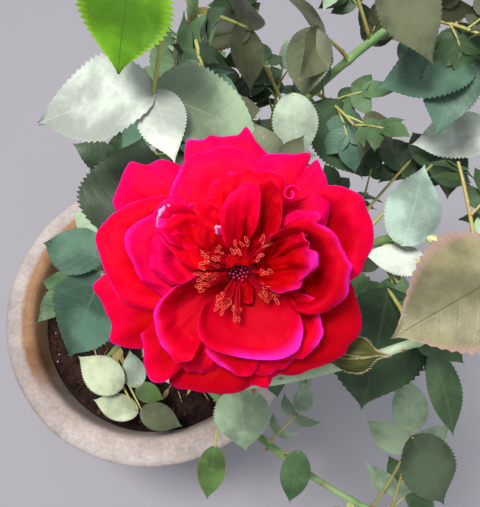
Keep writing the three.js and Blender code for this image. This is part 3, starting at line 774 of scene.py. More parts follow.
PRICKLE, PRICKLE_FACES = prickle_shape()
prickles = Gathered()
paths = {}
for name, cane in CANES.items():
    path = Path(*cane["curve"])
    paths[name] = path
    more = cane["more"]
    stands = [leaf["at"] for leaf in cane.get("placed", [])]
    stands += [mix(*more["span"], (i + 0.5) / more["count"]) for i in range(more["count"])]
    skin = cane_skin(path, cane["radius"], stands, cane.get("ends", 1))
    finish = sunlit_cane_finish if cane.get("pale") else cane_finish
    piece_of(skin, f"cane_{name}", [finish], [f"bough_{name}"])
    roll = dice(900 + len(name))
    for i in range(1, int(path.length * 0.9 / PRICKLE_EVERY)):
        share = (i + 0.5 * roll()) * PRICKLE_EVERY / path.length
        size = mix(1, 0.45, share) * (0.7 + 0.5 * roll())
        axis = path.heading(share)
        out = off_axis(axis, math.radians(GOLDEN_ANGLE * i))
        frame_of_thorn = np.array([axis, out.cross(axis), out])
        foot = path.at(share) + out * (mix(*cane["radius"], share) - 0.0005)
        prickles.add(PRICKLE * size @ frame_of_thorn + np.array(foot), PRICKLE_FACES)
prickle_finish = grained("red-brown prickle", 120, (150, 70, 56), (188, 150, 96), Roughness=0.4)
prickles.piece("cane_prickles", [prickle_finish], "green_cane")


# The leaves: each has a grooved stalk with two narrow wings at its foot, and one, three or five toothed
# leaflets, leathery, veined and matt beneath. Young leaves differ in colour, and sunlit and shaded leaves
# take their colours from painted sunlight and painted shade.
LEAF = dict(stalk=0.0012, sides=5, steps=9, sunk=0.0015, spread=64, bend=0.45, wide=0.66)
PAIRS = {1: [], 3: [(0.82, 0.9, 0.1)], 5: [(0.38, 0.76, 0.3), (0.84, 0.9, 0.05)]}
RULE = dict(size=(0.042, 0.032), reach=(0.102, 0.076), rise=42, droop=0.3, loose=0.25, tries=6)
NEAR_ITS_SOLID = 0.0016
KNEE_RISE = 0.12
# Leaf colours. The pale tones lit, pearl, ash and jade are partly painted sunlight, the glare of the sun on
# glossy leaves, and the dark tones deep and moss are partly painted shade.
TONES = {
    "lit": (208, 216, 202),
    "pearl": (188, 196, 183),
    "ash": (168, 184, 160),
    "sage": (178, 188, 152),
    "pale": (150, 172, 138),
    "jade": (162, 186, 170),
    "blue": (76, 106, 86),
    "mid": (80, 108, 70),
    "deep": (56, 78, 50),
    "moss": (66, 80, 56),
    "olive": (90, 95, 69),
    "bronze": (130, 124, 90),
    "bright": (90, 144, 22),
    "young": (82, 110, 56),
}
RULED_TONES = ["mid", "deep", "olive", "deep", "mid", "blue", "pale"]

# The net of veins: a midrib, side veins that run forward to the teeth, and small fields between them. The
# chart has the share across a leaflet as X, 0.5 on its midrib, and the share along it as Y.
veins, given, result = new_group("leaf veins", {"Chart": "Vector"}, {"Ribs": "Float", "Fields": "Float"})
parts = veins.add("SeparateXYZ", {0: given["Chart"]})
aside = veins.maths("ABSOLUTE", veins.maths("SUBTRACT", parts["X"], 0.5))
slim = veins.maths("MULTIPLY_ADD", parts["Y"], -0.013)
slim.node.inputs[2].default_value = 0.018
midrib = veins.between(veins.maths("DIVIDE", aside, slim), 1, 0.3)
bent = veins.times(aside, veins.plus(aside, 0.62))
forward = veins.maths("SUBTRACT", parts["Y"], bent)
loose = veins.maths("MULTIPLY_ADD", veins.noise(given["Chart"], 5, 1), 0.05)
veins.tree.links.new(forward, loose.node.inputs[2])
wave = veins.maths("PINGPONG", veins.times(loose, 15), 1)
side_rib = veins.between(wave, 0.13, 0.02, 0, 0.55)
veins.tree.links.new(veins.maths("MAXIMUM", midrib, side_rib), result["Ribs"])
cells = {"Vector": given["Chart"], "Scale": 42}
cells = veins.add("TexVoronoi", cells, feature="DISTANCE_TO_EDGE")["Distance"]
swell = veins.times(veins.between(cells, 0, 0.35), 0.5)
veins.tree.links.new(veins.plus(swell, veins.times(wave, 0.5)), result["Fields"])


def leaf_finish(name, colour, margin, rib=None):
    """A leaf's material: veins, a little paler or of a colour of their own, quilted fields between them, a
    tinted margin and a dull paler underside."""
    finish = Finish(f"{name} leaf", Roughness=0.45, Specular_IOR_Level=0.32)
    net = finish.group(veins, Chart=finish.chart())
    # Broad patches a little darker and lighter than the tone: partly the leaf's own uneven colour, partly
    # painted dappled sunlight and shade.
    dark, light = [c * 0.78 for c in colour], [min(255, c * 1.08 + 10) for c in colour]
    cloud, base = finish.mottled(finish.place(), 26, 800, 0.36, 0.64, dark, light)
    ribs = finish.between(net["Ribs"], 0.4, 1, 0, 0.8) if rib else finish.times(net["Ribs"], 0.3)
    base = finish.mixed(ribs, base, paint(*(rib or [min(255, c * 0.85 + 40) for c in colour])))
    aside = finish.maths("ABSOLUTE", finish.across())
    base = finish.tinted(base, aside, 0.74 if rib else 0.92, 1, margin, 0.6)
    behind = finish.add("NewGeometry")["Backfacing"]
    base = finish.mixed(behind, base, paint(*(min(255, c * 0.55 + 86) for c in colour)))
    rough = finish.between(cloud["Grains"], 0.3, 0.7, 0.36, 0.52)
    relief = finish.maths("SUBTRACT", net["Fields"], net["Ribs"])
    normal = finish.bump(relief, 0.3, 0.0002 if rib else 0.0003)
    return finish.wear(Base_Color=base, Roughness=rough, Normal=normal)


MARGINS = {"bronze": (178, 134, 134), "bright": (140, 180, 50), "young": (140, 120, 70)}
RIBS = {"bronze": (84, 78, 50), "bright": (58, 104, 22)}
leaf_finishes = [
    leaf_finish(name, colour, MARGINS.get(name, tuple(c * 0.9 for c in colour)), RIBS.get(name))
    for name, colour in TONES.items()
]
tone_index = {name: i for i, name in enumerate(TONES)}

stem = Finish("yellow-green leaf stalk", Roughness=0.5)
cloud, colour = stem.mottled(stem.place(), 60, 700, 0.4, 0.62, (182, 190, 104), (180, 156, 98))
colour = stem.tinted(colour, cloud["Grains"], 0.5, 0.7, (214, 210, 130), 0.4)
stalk_finish = stem.wear(Base_Color=colour, Normal=stem.bump(cloud["Grains"], 0.3, 0.0005))


def blade_grid(teeth, lanes):
    """One leaflet's grid: the share along it, the share across it, from -1 to 1, and its quads. Its edge is
    toothed, with each tooth leaning forward."""
    rows = 2 * teeth
    corners, faces = grid_shape(lanes, rows)
    along, across = corners[:, 1].copy(), 2 * corners[:, 0] - 1
    row = np.rint(along * rows).astype(int)
    edge = np.abs(across) > 0.999
    tooth = edge & (row % 2 == 1)
    along = along + np.where(tooth, 0.45 / rows, 0)
    width = np.where(edge, np.where(tooth, 0.03, -0.045), 0)
    return along, across, width, [face[::-1] for face in faces]


FINE_BLADE = blade_grid(teeth=23, lanes=6)
PLAIN_BLADE = blade_grid(teeth=12, lanes=2)
TWIG_BLADE = blade_grid(teeth=6, lanes=2)


def outline_of(share):
    """A leaflet's half width along it, 1 at its widest: round at its foot, drawn out at its tip."""
    share = np.clip(share, 0, 0.9999)
    return 0.012 + 0.988 * np.sin(np.pi * share**0.75) ** (0.74 + 0.75 * share**3)


def leaflet(leaves, grid, foot, heading, lift, length, width, tone, roll, jag=1):
    """Adds one blade from its foot along a heading, face up towards lift, curled and folded a little."""
    along, across, edge, faces = grid
    ahead = heading.normalized()
    up = square_to(ahead, lift)
    side = up.cross(ahead)
    bend = LEAF["bend"]
    turn = bend * along
    half = outline_of(along) * width / 2 * (1 + jag * edge)
    fold = (0.1 + 0.22 * roll()) * np.abs(across) * half
    wave = 0.035 * width * np.sin(along * (7 + 5 * roll()) + 6 * roll() + across) * across**2
    twist = 0.22 * (roll() - 0.5) * across * half * along
    rise = -length * (1 - np.cos(turn)) / bend + fold + wave + twist
    corners = (
        np.array(foot)
        + np.outer(length * np.sin(turn) / bend, ahead)
        + np.outer(across * half, side)
        + np.outer(rise, up)
    )
    chart = np.stack([0.5 + across * half / length, along], axis=1)
    leaves.add(corners, faces, tone, chart, across)


def rod(gathered, points, radii, sides, look=0):
    """Adds a thin round rod along a row of points, closed at both ends."""
    frames = frames_along(points)
    turns = [k * math.tau / sides for k in range(sides)]
    corners = [frame_here @ around(t, radius) for frame_here, radius in zip(frames, radii) for t in turns]
    faces = [
        (i * sides + k, i * sides + (k + 1) % sides, (i + 1) * sides + (k + 1) % sides, (i + 1) * sides + k)
        for i in range(len(points) - 1)
        for k in range(sides)
    ]
    last = (len(points) - 1) * sides
    faces += [tuple(reversed(range(sides))), tuple(range(last, last + sides))]
    gathered.add([c[:] for c in corners], faces, look)


WING = grid_shape(2, 6)


def grow_leaf(
    leaves, stalks, root, joint, tips, tones, leaflets=1, wide=None, roll_by=0, grid=FINE_BLADE, seed=1, jag=1
):
    """A whole leaf by the same steps as its solid: stalk, pairs of leaflets and the leaflets at the joint."""
    wide = wide or LEAF["wide"]
    roll = dice(seed)
    slim = 0.6 if grid is TWIG_BLADE else 1
    knee = root.lerp(joint, 0.5) + UP * KNEE_RISE * (joint - root).length
    path = Path(root, knee, joint)
    steps = LEAF["steps"]
    radii = [slim * LEAF["stalk"] * (1.35 - 0.6 * (i / steps) ** 0.5) for i in range(steps + 1)]
    rod(stalks, path.samples(steps), radii, LEAF["sides"])

    def up_at(heading):
        return Matrix.Rotation(math.radians(roll_by), 3, heading) @ square_to(heading, UP)

    def one(point, heading, up, length, tone):
        foot = point - heading * LEAF["sunk"]
        leaflet(leaves, grid, foot, heading, up, length + LEAF["sunk"], length * wide, tone, roll, jag)

    for share, scale, droop in PAIRS[leaflets]:
        heading = path.heading(share)
        up = up_at(heading)
        for side in (-1, 1):
            out = Matrix.Rotation(side * math.radians(LEAF["spread"]), 3, up) @ heading - up * droop
            one(path.at(share), out.normalized(), up, scale * (joint - tips[0]).length, tones[0])
    for i, tip in enumerate(tips):
        heading = (tip - joint).normalized()
        one(joint, heading, up_at(heading), (joint - tip).length, tones[i % len(tones)])

    if grid is TWIG_BLADE:
        return
    # The two wings at the stalk's foot, which clasp the cane.
    grid_uv, wing_faces = WING
    ahead = path.heading(0.02)
    up = up_at(ahead)
    side = up.cross(ahead)
    for hand in (-1, 1):
        along = grid_uv[:, 1]
        spread = hand * (0.0008 + grid_uv[:, 0] * 0.0022 * np.sin(np.pi * np.clip(along, 0.06, 0.94)) ** 0.6)
        corners = np.array(root) + np.outer(0.001 + 0.011 * along, ahead) + np.outer(spread, side)
        corners += np.outer(0.0008 * along, up)
        stalks.add(corners, [f[::-1] for f in wing_faces] if hand > 0 else wing_faces, 0)


def solid_skin(node):
    """The surface of a CAD node, to measure from."""
    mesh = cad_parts[node].data
    return BVHTree.FromPolygons([v.co for v in mesh.vertices], [p.vertices for p in mesh.polygons])


def ruled_leaves(cane, path, skin):
    """The leaves that go round a cane by the golden angle. Of the places that the rule tries for each, the
    one counts where the cane's solid has that leaf, and a leaf that it lacks is left off."""
    more = cane["more"]
    kept = []
    for i in range(more["count"]):
        roll = dice(more["seed"] * 1000 + i * 77 + 1)

        def swing(amount):
            return 1 + amount * (roll() - 0.5)

        young = (i + 0.5) / more["count"]
        share = mix(*more["span"], young)
        root, axis = path.at(share), path.heading(share)
        for attempt in range(RULE["tries"]):
            turn = math.radians(more["first"] + GOLDEN_ANGLE * i + (30 + 40 * attempt) * (roll() - 0.5))
            out = square_to(axis, around(turn))
            rise = math.radians(RULE["rise"]) * swing(RULE["loose"])
            reach = mix(*RULE["reach"], young) * swing(RULE["loose"])
            end = root + out * reach * math.cos(rise) + axis * reach * math.sin(rise) * 0.6
            end -= UP * RULE["droop"] * reach * roll()
            size = mix(*RULE["size"], young) * swing(RULE["loose"])
            joint = end.lerp(root, size / (end - root).length)
            roll_by = 24 * (roll() - 0.5)
            if skin.find_nearest(joint)[3] < NEAR_ITS_SOLID:
                leaflets = 3 if young > 0.6 else 5
                kept.append(dict(root=root, joint=joint, tips=[end], leaflets=leaflets, roll_by=roll_by))
                break
    return kept


# The twigs: finer side shoots with small leaves, grown from each cane by the same golden angle. They stay
# within the reach of their cane's own leaves, and leave the soil and the ground open where the photo does.
TWIGS = {
    "bloom": 7, "arching": 7, "low": 4, "right": 9, "back_right": 11, "back": 10, "back_left": 8, "left": 6,
}
LOWEST_TWIG = 0.235
BELOW_LEAVES = 0.05
TWIG = dict(
    span=(0.32, 0.97), reach=(0.1, 0.06), rise=34, radius=(0.0013, 0.0007), steps=8,
    leaves=5, leaf=(0.05, 0.034), blade=(0.026, 0.019), tries=14, leaf_tries=4,
)
TWIG_TONES = ["mid", "deep", "olive", "mid", "blue", "mid", "deep", "pale", "mid", "olive"]
CAMERA_AT = Vector((0.089, -0.1004, 0.8546))
CAMERA_PITCH = math.radians(15)
FOCAL_PIXELS = 600
PHOTO_WIDTH, PHOTO_HEIGHT = 480, 507
# Spots that stay open, each by its left, top, right and bottom edge, and the round one behind the bloom, by
# its middle and its radius, in the photo's pixels.
OPEN_SPOTS = [
    (-60, -60, 165, 250), (-60, 170, 215, 560), (190, 385, 480, 560), (330, 345, 420, 420),
    (355, 240, 440, 285), (380, 160, 450, 245), (270, 90, 325, 155),
]
BEHIND_BLOOM = (238, 262, 112)
UNDER_BLOOM = 0.6


def seen_at(point):
    """Where a point shows in the photo, in its pixels."""
    local = Matrix.Rotation(-CAMERA_PITCH, 3, "X") @ (point - CAMERA_AT)
    scale = FOCAL_PIXELS / -local.z
    return PHOTO_WIDTH / 2 + local.x * scale, PHOTO_HEIGHT / 2 - local.y * scale


def room_for(point, low, high):
    """Whether a twig or leaf may reach a point."""
    if any(point[i] < low[i] or point[i] > high[i] for i in range(3)):
        return False
    if math.hypot(point.x, point.y) < SOIL_RADIUS and point.z < RIM_HEIGHT - 0.01:
        return False
    x, y = seen_at(point)
    across, down, radius = BEHIND_BLOOM
    if math.hypot(x - across, y - down) < radius:
        return point.z < UNDER_BLOOM
    return not any(x0 < x < x1 and y0 < y < y1 for x0, y0, x1, y1 in OPEN_SPOTS)


def grow_twigs(leaves, stalks, name, path):
    """The twigs of one cane, each with its leaves, where the rule finds room for them."""
    low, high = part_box(f"leaves_{name}")
    low = Vector((low.x, low.y, max(low.z - BELOW_LEAVES, LOWEST_TWIG)))
    roll = dice(7000 + 31 * len(name) + ord(name[0]))
    count = TWIGS.get(name, 0)
    steps = TWIG["steps"]
    for i in range(count):
        young = (i + 0.5) / count
        share = mix(*TWIG["span"], young)
        root, axis = path.at(share), path.heading(share)
        for attempt in range(TWIG["tries"]):
            turn = math.radians(GOLDEN_ANGLE * i + 25 * attempt + 40 * roll())
            out = square_to(axis, around(turn))
            rise = math.radians(TWIG["rise"]) * (0.7 + 0.6 * roll())
            reach = mix(*TWIG["reach"], young) * (0.75 + 0.5 * roll())
            end = root + (out * math.cos(rise) + (axis * 0.5 + UP * 0.5) * math.sin(rise)) * reach
            if room_for(end, low, high) and room_for(root.lerp(end, 0.6), low, high):
                break
        else:
            continue
        twig = Path(root, root.lerp(end, 0.5) + UP * KNEE_RISE * reach, end)
        rod(stalks, twig.samples(steps), [mix(*TWIG["radius"], k / steps) for k in range(steps + 1)], 5)
        for k in range(TWIG["leaves"]):
            at = mix(0.3, 1, k / (TWIG["leaves"] - 1))
            foot, along = twig.at(at), twig.heading(at)
            for attempt in range(TWIG["leaf_tries"]):
                out = off_axis(along, math.radians(GOLDEN_ANGLE * k + 70 * roll() + 90 * attempt))
                way = (out * 0.8 + along * (0.5 if k < TWIG["leaves"] - 1 else 1.6) + UP * 0.25).normalized()
                size = mix(*TWIG["blade"], young) * (0.8 + 0.4 * roll())
                joint = foot + way * (mix(*TWIG["leaf"], young) - size) * (0.8 + 0.4 * roll())
                tip = joint + (way - UP * 0.55 * roll()).normalized() * size
                if room_for(joint, low, high) and room_for(tip, low, high):
                    tone = tone_index[TWIG_TONES[int(roll() * len(TWIG_TONES))]]
                    grow_leaf(
                        leaves, stalks, foot, joint, [tip], [tone], leaflets=5 if roll() < 0.7 else 3,
                        roll_by=30 * (roll() - 0.5), grid=TWIG_BLADE, seed=5000 * len(name) + 100 * i + k + 1,
                        jag=0.5,
                    )
                    break


for name, cane in CANES.items():
    path = paths[name]
    leaves, stalks = Gathered(), Gathered()
    for i, placed in enumerate(cane.get("placed", [])):
        grow_leaf(
            leaves, stalks, path.at(placed["at"]), Vector(placed["joint"]),
            [Vector(tip) for tip in placed["tips"]], [tone_index[tone] for tone in placed["tone"].split()],
            placed.get("leaflets", 1), placed.get("wide"),
            seed=100 * len(name) + i + 1, jag=placed.get("jag", 1),
        )
    for i, grown in enumerate(ruled_leaves(cane, path, solid_skin(f"leaves_{name}"))):
        tone = tone_index[RULED_TONES[(cane["more"]["seed"] + i) % len(RULED_TONES)]]
        seed = cane["more"]["seed"] * 50 + i + 1
        grow_leaf(leaves, stalks, tones=[tone], grid=PLAIN_BLADE, seed=seed, **grown)
    grow_twigs(leaves, stalks, name, path)
    leaves.piece(f"leaflets_{name}", leaf_finishes, "foliage", [f"leaves_{name}"])
    stalks.piece(f"stalks_{name}", [stalk_finish], "foliage", [f"leaves_{name}"])

# A pale young side bud that peeps out beside the upright leaf of the right cane.
SIDE_BUD = [(0.184, 0, 0.5255), (0.194, -0.003, 0.528), (0.2035, -0.0075, 0.531)]
SIDE_BUD_RADII = [0.001] * 6 + [0.0014, 0.0021, 0.0026, 0.0028, 0.0025, 0.0018, 0.0008]
side_bud = Gathered()
rod(side_bud, Path(*SIDE_BUD).samples(len(SIDE_BUD_RADII) - 1), SIDE_BUD_RADII, 10)
tender_finish = grained("pale young bud", 120, (216, 222, 128), (240, 240, 190), Roughness=0.5)
side_bud.piece("side_bud", [tender_finish], "foliage")


# The bloom: an open double flower on a green hip with five sepals turned back. Its velvety petals stand in
# rings, broad and flat outside, cupped and crumpled inside, red with violet edges where the light catches;
# the violet is partly their own and partly painted highlight, and darker copies of the red are painted shade.
BLOOM_AT = (0.089, -0.049, 0.64)
BLOOM_TILT = math.radians(15)
BLOOM_PLACE = Matrix.Translation(BLOOM_AT) @ Matrix.Rotation(BLOOM_TILT, 4, "X")
PETAL_THICKNESS = 0.00045
# The violet of the petals' edges: partly their own colour, partly painted highlight.
VIOLET = (248, 42, 180)
# Each petal by the corners of its lip as seen from above, as (angle, reach) pairs from one side to the other,
# and by its height half way out and at its lip. A wall is a steep rise: where it starts, how wide it is, how
# high. Violet, partly painted highlight, shows along the stretch of the lip that lit gives, as deep into the
# petal as band says.
PETALS = {
    "outer": [
        dict(level=(0.0045, 0.001), look="crimson", rim=[(162, 0.0412), (153, 0.0538), (135.4, 0.0576),
             (132, 0.0513), (126, 0.0501), (120, 0.0443), (112, 0.0391)]),
        dict(level=(0.004, 0), look="shaded", rim=[(-135, 0.040), (-142, 0.0472), (-151.5, 0.056),
             (-156, 0.0514), (-166, 0.0526), (-174, 0.0546), (-177, 0.0508), (-183, 0.045)]),
        dict(level=(0.004, 0.001), look="folded", rim=[(-78, 0.038), (-85, 0.043), (-93, 0.0456),
             (-104, 0.0463), (-112, 0.0478), (-119, 0.0503), (-122.5, 0.0494), (-125, 0.042),
             (-130, 0.036)]),
        dict(level=(0.004, 0.001), look="folded", cup=0.001, rim=[(-2, 0.0376), (-9, 0.0434),
             (-18, 0.047), (-27, 0.0505), (-31, 0.0496), (-34.5, 0.0483), (-37, 0.0502), (-44, 0.0486),
             (-55, 0.0444), (-66, 0.0421), (-74, 0.038)]),
        dict(level=(0.001, 0.0015), look="shaded", cup=0.0015, wall=(0.68, 0.16, 0.007), roll=0.003,
             rim=[(50, 0.0369), (43.7, 0.0449), (38.3, 0.0482), (31, 0.051), (22, 0.051), (14, 0.0497),
             (8, 0.0469), (-1.4, 0.0425), (-8, 0.0369)]),
        dict(level=(0.006, 0.004), look="crimson", rim=[(120, 0.04), (116.4, 0.045), (112, 0.0511),
             (105, 0.0488), (102.7, 0.0503), (98, 0.0488), (90, 0.05), (88, 0.0533), (84.3, 0.0485),
             (77.4, 0.0438), (70, 0.0399)]),
        dict(level=(0.005, 0.0025), look="scarlet", rim=[(-62, 0.038), (-70, 0.0405), (-74.3, 0.042),
             (-78.3, 0.0452), (-82, 0.0435), (-85.3, 0.043), (-92, 0.040)]),
        dict(level=(0.006, 0.004), look="shaded", lit=(0.45, 1, 0.8), band=0.06, rim=[(-120, 0.0376),
             (-124, 0.0496), (-128, 0.0516), (-131, 0.0508), (-139, 0.0463), (-148, 0.043),
             (-151.7, 0.038), (-158, 0.033)]),
        dict(level=(0.0055, 0.0055), look="scarlet", roll=0.0025, wall=(0.62, 0.25, 0.002),
             rim=[(208, 0.033), (200, 0.04), (195.3, 0.0437), (187.5, 0.0459), (180, 0.0486),
             (174, 0.0507), (167.8, 0.0531), (163.2, 0.0531), (161.8, 0.0516), (156.2, 0.0495),
             (146.9, 0.0452), (140.4, 0.041), (133, 0.0367)]),
        dict(level=(0.0085, 0.007), look="crimson", rim=[(80, 0.0393), (77.4, 0.0427), (67, 0.0449),
             (59.6, 0.0486), (58, 0.0489), (56.9, 0.0424), (55.4, 0.0488), (53.8, 0.048), (47, 0.0448),
             (33, 0.0388), (26, 0.0342)]),
    ],
    "middle": [
        dict(level=(0.008, 0.0065), look="scarlet", rim=[(-52, 0.034), (-57.5, 0.0376), (-66, 0.0384),
             (-78, 0.0386), (-86, 0.0365), (-92, 0.033)]),
        dict(level=(0.008, 0.0065), look="scarlet", roll=0.002, rim=[(-100, 0.033), (-104.5, 0.037),
             (-111, 0.0401), (-119, 0.041), (-124, 0.040), (-130, 0.036)]),
        dict(level=(0.0085, 0.0105), look="dark", lit=(0.3, 1, 1), band=0.09, rim=[(-78, 0.033),
             (-84, 0.037), (-91.5, 0.0375), (-98, 0.0356), (-105, 0.0334), (-113, 0.031), (-119, 0.0294),
             (-125, 0.026)]),
        dict(level=(0.0105, 0.0095), look="crimson", roll=0.0035, cup=0.0012, lit=(0, 0.35, 1), band=0.08,
             rim=[(136, 0.0338), (132.3, 0.0374), (125.2, 0.0407), (117.4, 0.0437), (109.5, 0.0451),
             (107, 0.0439), (100, 0.0446), (94.2, 0.0443), (86.8, 0.0422), (80, 0.04), (72, 0.0369)]),
        dict(level=(0.0075, 0.0075), look="crimson", wall=(0.6, 0.2, 0.005), roll=0.0025,
             lit=(0.2, 0.9, 0.8), band=0.07, rim=[(200, 0.028), (190.6, 0.0322), (180.7, 0.0371),
             (169.7, 0.0406), (162.3, 0.0418), (155.7, 0.0402), (149, 0.0385), (143, 0.034)]),
        dict(level=(0.0072, 0.0068), look="scarlet", cup=0.0016, wall=(0.76, 0.14, 0.004), roll=0.001,
             crumple=0.0011, lit=(0, 0.7, 1), band=0.09, rim=[(-20, 0.028), (-28, 0.0312),
             (-35.8, 0.0364), (-46.5, 0.0383), (-54.7, 0.0381), (-62, 0.034)]),
        dict(level=(0.0065, 0.0075), look="mellow", cup=0.003, wall=(0.74, 0.2, 0.007), lit=(0.2, 1, 0.9),
             band=0.07, rim=[(-118, 0.034), (-125, 0.0385), (-129.3, 0.0384), (-140.4, 0.0364),
             (-151, 0.0344), (-158.5, 0.0308), (-165, 0.0243), (-170, 0.018)]),
        dict(level=(0.0045, 0.006), look="hollow", cup=0.004, wall=(0.68, 0.15, 0.0105), roll=0.0025,
             lit=(0.12, 0.8, 1), band=0.09, rim=[(44, 0.024), (35.6, 0.0292), (24.2, 0.0342),
             (11.3, 0.0363), (4, 0.0383), (2.5, 0.0401), (0, 0.0377), (-9, 0.0377), (-13.8, 0.0378),
             (-22.4, 0.0349), (-27.5, 0.0316), (-34, 0.026)]),
        dict(level=(0.012, 0.0145), look="crimson", roll=0.001, lit=(0.2, 0.9, 0.5), rim=[(50, 0.024),
             (46, 0.029), (41.6, 0.0314), (35.5, 0.0341), (32, 0.0334), (28, 0.028)]),
        dict(level=(0.012, 0.0135), look="scarlet", roll=0.0015, lit=(0, 0.45, 0.6), rim=[(113, 0.028),
             (108.5, 0.0318), (100.6, 0.0345), (90.7, 0.035), (83, 0.0369), (73, 0.0372), (65.3, 0.0362),
             (58, 0.032)]),
    ],
    "inner": [
        dict(level=(0.011, 0.011), look="crimson", cup=0.002, wall=(0.7, 0.16, 0.005), roll=0.0025,
             crumple=0.002, lit=(0.1, 0.9, 0.6), rim=[(158, 0.028), (152, 0.033), (146.8, 0.0361),
             (140, 0.0366), (131.6, 0.0343), (128, 0.032)]),
        dict(level=(0.009, 0.0095), look="crimson", cup=0.002, wall=(0.66, 0.2, 0.006), roll=0.0015,
             lit=(0.1, 0.8, 0.4), rim=[(192, 0.024), (183, 0.0287), (171.3, 0.0322), (164, 0.0331),
             (152.7, 0.0316), (148, 0.028)]),
        dict(level=(0.0085, 0.013), look="mellow", cup=0.0012, wall=(0.84, 0.12, 0.003), crumple=0.0012,
             lit=(0.06, 0.68, 1), band=0.13, rim=[(-30, 0.021), (-37.5, 0.0269), (-43, 0.0303),
             (-53, 0.0338), (-61, 0.034), (-69, 0.0329), (-77, 0.0315), (-86, 0.0303), (-94, 0.0293),
             (-103, 0.0285), (-112, 0.0282), (-120, 0.027), (-128, 0.0242), (-136, 0.018)]),
        dict(level=(0.0122, 0.0162), look="scarlet", crumple=0.0036, folds=0.0012, frill=0.0005,
             cup=0.001, roll=0.0015, lit=(0.2, 0.75, 0.7), band=0.1, rim=[(176, 0.017), (169, 0.0238),
             (161, 0.0278), (153, 0.0302), (146, 0.0322), (138, 0.0318), (131, 0.0306), (125, 0.0286),
             (117, 0.0282), (111, 0.0284), (106, 0.0262), (102, 0.020)]),
        dict(level=(0.0145, 0.0158), look="folded", crumple=0.0026, roll=0.0012, lit=(0, 1, 0),
             rim=[(154, 0.012), (147, 0.0172), (139, 0.0196), (131, 0.0202), (124, 0.0184),
             (117, 0.013)]),
        dict(level=(0.0115, 0.0165), look="folded", cup=0.0035, crumple=0.0024, folds=0.001,
             lit=(0, 1, 0), rim=[(86, 0.016), (80, 0.0285), (72, 0.0322), (65, 0.0318), (59, 0.0288),
             (53, 0.0245), (46, 0.019)]),
        dict(level=(0.0155, 0.0208), look="glowing", cup=-0.0035, crumple=0.0016, wall=(0.4, 0.4, 0.003),
             roll=0.002, lit=(0.15, 0.6, 0.5), rim=[(118, 0.013), (112, 0.0172), (106, 0.0228),
             (99.5, 0.0253), (92, 0.0278), (86, 0.0304), (79, 0.0296), (75, 0.0268), (72, 0.021)]),
        dict(level=(0.0085, 0.0165), look="dark", crumple=0.003, folds=0.0064, frill=0.0046,
             lit=(0.42, 0.88, 0.9), band=0.19, rim=[(53, 0.012), (50, 0.0172), (46.6, 0.0198),
             (41, 0.0226), (36, 0.0232), (32.5, 0.0254), (28, 0.0248), (25, 0.0264), (19, 0.0248),
             (15, 0.0268), (10, 0.0262), (5, 0.0272), (-2, 0.0256), (-6, 0.0234), (-10, 0.0222),
             (-19, 0.0202), (-26, 0.0172), (-32, 0.012)]),
        dict(level=(0.0160, 0.0166), root=(0.0314, 0.0145), look="bleached", cup=0.001, crumple=0.0014,
             lit=(0, 1, 0), rim=[(152, 0.0318), (150, 0.0328), (146, 0.0335), (142, 0.0338),
             (139, 0.0338), (137, 0.0326)]),
        dict(level=(0.0175, 0.0192), root=(0.0135, 0.016), look="bleached", cup=0.0006, crumple=0.001,
             lit=(0, 1, 0), rim=[(122, 0.0152), (119.5, 0.0168), (117, 0.0174), (114.5, 0.0168),
             (112, 0.0154)]),
        dict(level=(0.008, 0.0095), look="folded", lit=(0, 1, 0), root=(0.0022, 0.0085), crumple=0.0022,
             folds=0.001, rim=[(-48, 0.006), (-60, 0.0106), (-74, 0.0122), (-90, 0.0114), (-102, 0.006)]),
        dict(level=(0.0142, 0.0115), look="folded", lit=(0, 1, 0), root=(0.002, 0.0125), crumple=0.0016,
             rim=[(168, 0.0048), (128, 0.0072), (92, 0.0076), (56, 0.0064), (18, 0.004)]),
    ],
}
CLAW = {"outer": (0.007, -0.001), "middle": (0.0055, 0.001), "inner": (0.0042, 0.004)}
SCROLL = dict(at=(0.0166, 0.0256, 0.0135), radii=(0.0025, 0.0009), turns=1.2, tall=0.0055, lean=(0.3, 0.4))
PETAL_LANES, PETAL_ROWS = 26, 24
PETAL_GRID, PETAL_FACES = grid_shape(PETAL_LANES, PETAL_ROWS)


def on_bloom(corners):
    """Corners from the bloom's own frame, moved to where it stands."""
    place = np.array(BLOOM_PLACE)
    return corners @ place[:3, :3].T + place[:3, 3]


